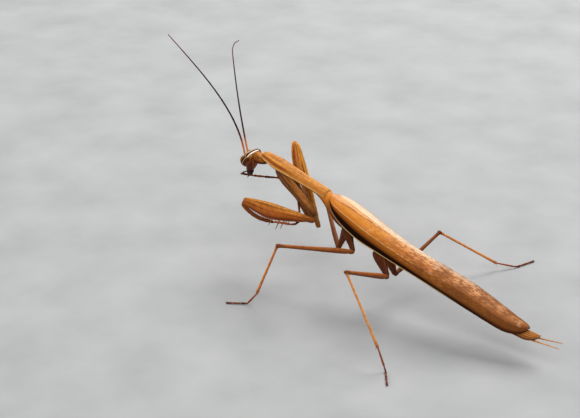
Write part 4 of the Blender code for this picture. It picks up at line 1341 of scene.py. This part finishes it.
def femur_tone(word):
    """A fore femur's browns, with a dark root."""
    browns = streaked(FEMUR_BROWNS[word], (0.20, 0.044, 0.006), 0.70)

    def colour_of(tree):
        root = span(tree, place_on(tree)[2], 0.06, 0.24, 0.8, 0.0)
        return tint(tree, root, browns(tree), (0.18, 0.046, 0.007))
    return colour_of


def femur_axes(word):
    """A fore femur's directions: along it, down to its spines, and across it."""
    along = (fore_knees[word] - fore_roots[word]).normalized()
    down = square_to(FORE_UNDERSIDES[word], along)
    return along, down, along.cross(down)


for word in ("left", "right"):
    along, down, across = femur_axes(word)
    rings = [(place, broad, (top + under) / 2, 0.0, (under - top) / 2)
             for place, top, under, broad in FORE_FEMUR_RINGS]
    blade = grow("fore_femur_blade", rings, outline=both_halves(FORE_FEMUR_OUTLINE))
    pieces = [settle(blade, fore_roots[word], along, down)]
    depths = [(ring[0], ring[2]) for ring in FORE_FEMUR_RINGS]
    for row, spines, splay in SPINE_ROWS:
        for place, length in spines:
            foot = fore_roots[word] + along * place + across * (row * GROOVE_HALF)
            foot += down * (between(depths, place) * SPINE_SEAT)
            lean = down + across * (row * splay) + along * SPINE_LEAN
            pieces.append(plant(foot, lean, length, 0.12 + 0.03 * length))
    shell = finish_shell("fore_femur_shell_" + word, femur_tone(word), (0.14, 0.034, 0.006),
                         scale=1000.0)
    fit_out(join("fore_femur_" + word + "_blade", pieces), shell, "leg", "fore_femur_" + word)


# The forelegs' tibiae. Bowed and narrow, shut like a knife against the femur's spines, toothed on
# the inner edge and drawn out at the end into a strong hooked claw.
FORE_TIBIA_LENGTH, FORE_TIBIA_BOW, FORE_TIBIA_FOLD = 8.2, 0.95, 14.0
FORE_KNEE_REACH, FORE_KNEE_DEPTH = 0.1, 1.1
# share of the length and radius
FORE_TIBIA_SIZES = ((-0.05, 0.30), (0.0, 0.40), (0.06, 0.46), (0.2, 0.48), (0.4, 0.48), (0.6, 0.46),
                    (0.8, 0.42), (0.92, 0.38))
# forwards from the end of the shaft, inwards, and radius
TIBIA_HOOK = ((0.15, 0.0, 0.34), (0.55, 0.05, 0.27), (0.95, 0.25, 0.19), (1.22, 0.55, 0.11),
              (1.30, 0.85, 0.045))
# the teeth in each row, the first one's share of the length and the step to the next, how far
# the rows stand apart and inwards, and how much they splay
TIBIA_TEETH, TIBIA_FIRST, TIBIA_STEP = 11, 0.16, 0.072
TIBIA_APART, TIBIA_INWARD, TIBIA_SPLAY = 0.22, 0.30, 0.55
KNEE_RADII, KNEE_DROP = (0.42, 0.42, 0.55), 0.45
TIBIA_BROWNS = {
    # from the knee to the hook; the left one is darker as painted shade on the near tibia, the
    # right one paler as painted light on the far one
    "left": ((0.0, (0.30, 0.08, 0.011)), (0.12, (0.22, 0.054, 0.007)), (0.5, (0.13, 0.028, 0.004)),
             (0.78, (0.09, 0.020, 0.004)), (0.90, (0.030, 0.008, 0.004)),
             (1.0, (0.02, 0.007, 0.004))),
    "right": ((0.0, (0.85, 0.32, 0.055)), (0.5, (0.72, 0.24, 0.035)), (0.78, (0.45, 0.13, 0.02)),
              (0.90, (0.055, 0.016, 0.006)), (1.0, (0.03, 0.010, 0.005))),
}


def tibia_brown(rows):
    def colour_of(tree):
        along = place_on(tree)[2]
        tips = span(tree, along, 2.1, 2.7)
        return tint(tree, tips, ramp(tree, along, rows), (0.03, 0.010, 0.005))
    return colour_of


for word in ("left", "right"):
    along, down, across = femur_axes(word)
    knee = fore_knees[word] + along * FORE_KNEE_REACH + down * FORE_KNEE_DEPTH
    fold = math.radians(FORE_TIBIA_FOLD)
    reach = along * -math.cos(fold) + down * math.sin(fold)
    outward = along * math.sin(fold) + down * math.cos(fold)

    def shaft(part):
        bow = FORE_TIBIA_BOW * 4 * part * (1 - part)
        return knee + reach * (FORE_TIBIA_LENGTH * part) + outward * bow

    points = [shaft(part) for part, _ in FORE_TIBIA_SIZES]
    radii = [size for _, size in FORE_TIBIA_SIZES]
    for forward, inward, radius in TIBIA_HOOK:
        points.append(shaft(0.95) + reach * forward - outward * inward)
        radii.append(radius)
    pieces = [tube("fore_tibia_rod", points, radii, roundness=4)]
    # the joint that turns at the end of the femur
    pieces.append(ball("fore_knee", fore_knees[word] + down * KNEE_DROP, KNEE_RADII, segments=16))
    for number in range(TIBIA_TEETH):
        part = TIBIA_FIRST + TIBIA_STEP * number
        for row in (1, -1):
            foot = shaft(part) + across * (row * TIBIA_APART) - outward * TIBIA_INWARD
            lean = -outward + across * (row * TIBIA_SPLAY) + reach * 0.7
            pieces.append(plant(foot, lean, 0.45 + 0.035 * number, 0.085))
    shell = finish_shell("fore_tibia_shell_" + word, tibia_brown(TIBIA_BROWNS[word]),
                         (0.10, 0.026, 0.006), scale=1300.0)
    fit_out(join("fore_tibia_" + word + "_hook", pieces), shell, "leg", "fore_tibia_" + word)


# The feet. Every foot is a slim rod of five joints of shell, the first much the longest, with a
# pair of fine curved claws at its end; brown, and nearly black at the joints.
FORE_TARSUS_ROUTES = {
    "left": ((4.25, -12.0, 13.2), (4.6, -11.2, 13.6), (4.55, -8.95, 14.0), (4.3, -6.85, 14.2),
             (3.1, -6.2, 14.1), (2.15, -6.3, 14.9), (2.1, -6.45, 16.9), (2.2, -6.6, 19.1)),
    "right": ((-4.4, -11.9, 20.5), (-4.3, -12.7, 20.15), (-3.8, -16.0, 19.95), (-2.5, -19.0, 19.8),
              (-1.5, -22.0, 19.65), (-0.7, -23.6, 19.8), (-0.1, -24.3, 20.0)),
}
FOOT_JOINTS = (0.42, 0.19, 0.12, 0.08, 0.19)
FORE_FOOT_THICKNESS = 0.28
FORE_FOOT_UNDERSIDES = {"left": (1, 0, 0.2), "right": (0, -0.4, -1)}
# forwards, outwards and down along a claw, and its radius
CLAW = ((-0.2, 0.05, 0.0, 0.10), (0.25, 0.16, -0.06, 0.095), (0.6, 0.30, 0.0, 0.075),
        (0.82, 0.38, 0.18, 0.05), (0.90, 0.42, 0.38, 0.02))


def foot_joints(thickness):
    """The joints of a foot, each widest at its far end."""
    return [(share, thickness * 0.82, thickness * 1.06) for share in FOOT_JOINTS]


def claws(tip, direction, under, size=0.62):
    """The pair of claws at the end of a foot, curving towards its underside."""
    direction = Vector(direction).normalized()
    under = square_to(under, direction)
    beside = direction.cross(under)
    made = []
    for row in (1, -1):
        points = [tip + (direction * go + beside * (row * out) + under * drop) * size
                  for go, out, drop, _ in CLAW]
        made.append(tube("claw", points, [knot[3] for knot in CLAW], roundness=1))
    return made


def foot_colour(tree):
    """Each joint's browns, from its near end to its far one."""
    stops, start = [], 0.0
    for share in FOOT_JOINTS:
        for part, paint in ((0.12, (0.36, 0.085, 0.016)), (0.55, (0.20, 0.040, 0.008)),
                            (0.88, (0.020, 0.005, 0.003))):
            stops.append((start + share * part, paint))
        start += share
    return ramp(tree, place_on(tree)[2], stops)


foot_shell = finish_shell("foot_shell", foot_colour, (0.05, 0.016, 0.008), scale=2000.0,
                          roughness=0.5)
for word in ("left", "right"):
    route = [Vector(point) for point in FORE_TARSUS_ROUTES[word]]
    foot = jointed("fore_foot", route, foot_joints(FORE_FOOT_THICKNESS))
    pair = claws(route[-1], route[-1] - route[-2], FORE_FOOT_UNDERSIDES[word])
    fit_out(join("fore_tarsus_" + word + "_foot", [foot, *pair]), foot_shell, "dark",
            "fore_tarsus_" + word)


# The middle and hind legs. Four thin walking legs of brown shell: a stout coxa at the body, a
# bead-like trochanter, a long femur ending in two knee lobes, a thin spurred tibia, and a foot
# flat on the table.
WALKING_HIPS = {
    "mid": {"left": (1.5, 5.7, 16.6), "right": (-1.5, 4.7, 15.9)},
    "hind": {"left": (1.5, 13.9, 13.6), "right": (-1.7, 14.0, 12.4)},
}
COXA_RINGS = {
    # share of the length, half breadth, half depth
    "mid": ((0.0, 0.80, 0.60), (0.05, 1.20, 0.90), (0.25, 1.30, 0.95), (0.48, 1.00, 0.82),
            (0.66, 0.70, 0.66), (0.85, 0.58, 0.56), (0.96, 0.54, 0.52), (1.0, 0.34, 0.34)),
    "hind": ((0.0, 1.10, 0.60), (0.05, 1.70, 0.90), (0.22, 1.80, 1.00), (0.42, 1.50, 0.90),
             (0.60, 1.15, 0.76), (0.78, 0.82, 0.64), (0.92, 0.62, 0.58), (0.98, 0.54, 0.50),
             (1.0, 0.34, 0.34)),
}
# how far the thigh reaches past its CAD node at either end, and the shin at its far one
THIGH_START, THIGH_END, SHIN_END = 0.95, 0.1, 0.1
# lengths of the first joint of the foot and of the rest
METATARSUS = {"mid": (3.6, 5.0), "hind": (5.0, 5.7)}
FOOT_THICKNESS = 0.215
# how far the foot and the roots of its claws stop short of the toe, and the claws' size
FOOT_GAP, CLAW_GAP, CLAW_LIFT, CLAW_SIZE = 0.25, 0.48, 0.12, 0.40
LOBE_RADII, LOBE_APART, LOBE_DROP = (0.16, 0.34, 0.38), 0.30, 0.10
SPUR_LENGTH, SPUR_THICKNESS = 0.85, 0.085
BRISTLES, BRISTLE_LENGTH, BRISTLE_THICKNESS = 5, 0.30, 0.05
# a shin steeper than this has its underside to the rear
UPRIGHT = math.sqrt(1 - 0.2 ** 2)


def thigh_rings(length):
    """Trochanter and femur, from the hip joint to the knee."""
    return (
        (-0.25, 0.28, 0.28), (0.0, 0.46, 0.48), (0.45, 0.55, 0.58), (0.95, 0.50, 0.54),
        (1.12, 0.40, 0.44), (1.35, 0.52, 0.56), (2.6, 0.58, 0.64), (length * 0.35, 0.52, 0.58),
        (length * 0.65, 0.42, 0.46), (length - 1.6, 0.36, 0.38), (length - 0.7, 0.38, 0.44),
        (length - 0.1, 0.40, 0.50), (length + 0.22, 0.34, 0.40), (length + 0.36, 0.18, 0.22),
    )


def shin_rings(length):
    """Tibia, from the knee to the ankle."""
    return (
        (-0.05, 0.20, 0.20), (0.12, 0.34, 0.34), (0.5, 0.33, 0.34), (1.1, 0.27, 0.29),
        (2.2, 0.25, 0.27), (length * 0.5, 0.25, 0.27), (length * 0.8, 0.27, 0.29),
        (length - 0.7, 0.31, 0.33), (length - 0.2, 0.34, 0.36), (length + 0.05, 0.24, 0.24),
    )


def heel_of(node, ankle, toe, share):
    """Where a foot bends: the middle of the points near that share of the way to the toe."""
    reach = toe - ankle
    close = [point for point in mesh_points(node)
             if abs((point - ankle).dot(reach) / reach.length_squared - share) < 0.10]
    return sum(close, Vector()) / len(close)


thigh_brown = streaked((
    (0.0, (0.493, 0.155, 0.0351)), (0.35, (0.362, 0.0972, 0.0189)),
    (0.65, (0.217, 0.0513, 0.00945)), (1.0, (0.145, 0.0351, 0.0081)),
), (0.145, 0.0378, 0.00945), 0.5, ends=(0.145, 0.0378, 0.0108))
shaded_brown = streaked((
    (0.0, (0.30, 0.085, 0.017)), (0.35, (0.21, 0.052, 0.010)), (0.65, (0.13, 0.029, 0.005)),
    (1.0, (0.09, 0.020, 0.004)),
), (0.09, 0.022, 0.005), 0.5, ends=(0.09, 0.022, 0.006))
shin_brown = streaked((
    (0.0, (0.85, 0.383, 0.109)), (0.5, (0.841, 0.265, 0.0656)), (1.0, (0.463, 0.128, 0.0311)),
), (0.42, 0.109, 0.0292), 0.4, ends=(0.274, 0.0729, 0.0219))
hip_brown = streaked((
    (0.0, (0.20, 0.042, 0.007)), (0.4, (0.11, 0.020, 0.003)), (0.7, (0.18, 0.036, 0.006)),
    (1.0, (0.10, 0.018, 0.003)),
), (0.0512, 0.0118, 0.00295), 0.7)
thigh_shells = {
    word: finish_shell("thigh_shell_" + word, tone, (0.08, 0.022, 0.006), scale=1300.0)
    for word, tone in (("left", thigh_brown), ("right", shaded_brown))
}
shin_shell = finish_shell("shin_shell", shin_brown, (0.14, 0.045, 0.013), scale=1500.0)
hip_shell = finish_shell("hip_shell", hip_brown, (0.03, 0.010, 0.003), amount=0.5, scale=1200.0)

for pair in ("mid", "hind"):
    for word, side in SIDES:
        coxa_node, femur_node, tibia_node, tarsus_node = (
            f"{pair}_{part}_{word}" for part in ("coxa", "femur", "tibia", "tarsus")
        )
        hip = Vector(WALKING_HIPS[pair][word])
        thigh_start, thigh_end = long_ends(femur_node, hip)
        shin_end = long_ends(tibia_node, thigh_end)[1]
        ankle, toe = long_ends(tarsus_node, shin_end)
        thigh_way = (thigh_end - thigh_start).normalized()
        trochanter = thigh_start - thigh_way * THIGH_START
        knee = thigh_end + thigh_way * THIGH_END
        shin_way = (shin_end - knee).normalized()
        foot_joint = shin_end + shin_way * SHIN_END

        coxa = grow(coxa_node + "_cone", run_along(hip, trochanter, COXA_RINGS[pair]),
                    outline=ribbed(20, 5, 0.04))
        settle(coxa, hip, trochanter - hip, (side, 0, 0))
        fit_out(coxa, hip_shell, "leg", coxa_node)

        rings = thigh_rings((knee - trochanter).length)
        thigh = settle(grow("thigh", rings, outline=ribbed(16, 4, 0.03)), trochanter, thigh_way,
                       (0, 0, -1))
        under = square_to((0, 0, -1), thigh_way)
        beside = thigh_way.cross(under)
        lobes = [ball("lobe", knee + beside * (row * LOBE_APART) + under * LOBE_DROP, LOBE_RADII,
                      segments=12) for row in (1, -1)]
        fit_out(join(femur_node + "_thigh", [thigh, *lobes]), thigh_shells[word], "leg",
                femur_node)

        # a shin has two spurs at its end and two rows of bristles along its underside
        length = (foot_joint - knee).length
        upright = abs(shin_way.z) > UPRIGHT
        under = square_to((0, 1, 0) if upright else (0, 0, -1), shin_way)
        beside = shin_way.cross(under)
        pieces = [settle(grow("shin", shin_rings(length), outline=ribbed(16, 4, 0.03)), knee,
                         shin_way, under)]
        for row in (1, -1):
            foot = foot_joint - shin_way * 0.30 + beside * (row * 0.20) + under * 0.15
            lean = shin_way + beside * (row * 0.35) + under * 0.35
            pieces.append(plant(foot, lean, SPUR_LENGTH, SPUR_THICKNESS))
            lean = under + shin_way + beside * (row * 0.4)
            for number in range(BRISTLES):
                foot = knee + shin_way * (length * (0.30 + 0.13 * number)) + beside * (row * 0.14)
                pieces.append(plant(foot + under * 0.18, lean, BRISTLE_LENGTH, BRISTLE_THICKNESS))
        fit_out(join(tibia_node + "_shin", pieces), shin_shell, "leg", tibia_node)

        first, rest = METATARSUS[pair]
        heel = heel_of(tarsus_node, ankle, toe, first / (first + rest))
        toe_way = (toe - heel).normalized()
        foot = jointed("foot", [foot_joint - shin_way * 0.1, ankle, heel, toe - toe_way * FOOT_GAP],
                       foot_joints(FOOT_THICKNESS))
        claw_root = toe - toe_way * CLAW_GAP + Vector((0, 0, CLAW_LIFT))
        pair_of_claws = claws(claw_root, toe_way, (0, 0, -1), CLAW_SIZE)
        fit_out(join(tarsus_node + "_foot", [foot, *pair_of_claws]), foot_shell, "dark",
                tarsus_node)

bpy.data.objects.remove(spike)


# The table and the lights. A pale matt concrete table top, a large soft lamp overhead at the
# animal's right, two weaker ones at its left, and an even sky that fills the shadows.
FLOOR_SIZE = 3.0
SKY_STRENGTH = 0.42
LAMPS = {
    # name: (place, size, power in watts), all aimed at the middle of the animal
    "overhead_softbox": ((-0.42, -0.08, 0.52), 0.36, 3.8),
    "side_softbox": ((0.30, 0.35, 0.60), 0.60, 2.4),
    "front_softbox": ((0.22, -0.52, 0.38), 0.50, 1.8),
}

deselect_all()
middle = (cad_box[0] + cad_box[1]) / 2
scene = bpy.context.scene
scene.view_settings.view_transform = "Standard"
sky = bpy.data.worlds.new("studio_sky")
sky.use_nodes = True
sky.node_tree.nodes["Background"].inputs["Color"].default_value = (0.93, 0.96, 1.0, 1.0)
sky.node_tree.nodes["Background"].inputs["Strength"].default_value = SKY_STRENGTH
scene.world = sky

for name, (place, size, power) in LAMPS.items():
    bpy.ops.object.light_add(type="AREA", location=place)
    lamp = bpy.context.active_object
    lamp.name = name
    lamp.data.size = size
    lamp.data.energy = power
    lamp.rotation_euler = (Vector(place) - middle).to_track_quat("Z", "Y").to_euler()

bpy.ops.mesh.primitive_plane_add(size=FLOOR_SIZE)
table_top = bpy.context.active_object
table_top.name = "table_top"
concrete, tree, shader = new_finish("pale_concrete", {"Roughness": 0.85})
tree.links.new(ramp(tree, noise(tree, 60.0, 6.0), (
    (0.3, (0.33, 0.33, 0.327)), (0.7, (0.395, 0.395, 0.39)),
)), shader.inputs["Base Color"])
table_top.data.materials.append(concrete)


# The camera. It looks down on the animal from behind its left side, level with the tail and from
# about a third of a metre away.
CAMERA_FROM_PRONOTUM = (226.0, 160.8, 153.8)
CAMERA_AZIMUTH = 127.18
CAMERA_ELEVATION = 26.04
CAMERA_ROLL = 0.4
CAMERA_LENS = 87.72

bpy.ops.object.camera_add(location=BODY + Vector(CAMERA_FROM_PRONOTUM) * MM)
camera = bpy.context.active_object
camera.data.lens = CAMERA_LENS
camera.data.clip_start = 0.01
back = heading(1, CAMERA_AZIMUTH, CAMERA_ELEVATION)
roll = Matrix.Rotation(math.radians(CAMERA_ROLL), 3, back)
right = roll @ Vector((0, 0, 1)).cross(back).normalized()
level = back.cross(right)
camera.rotation_euler = Matrix((right, level, back)).transposed().to_euler()
scene.camera = camera
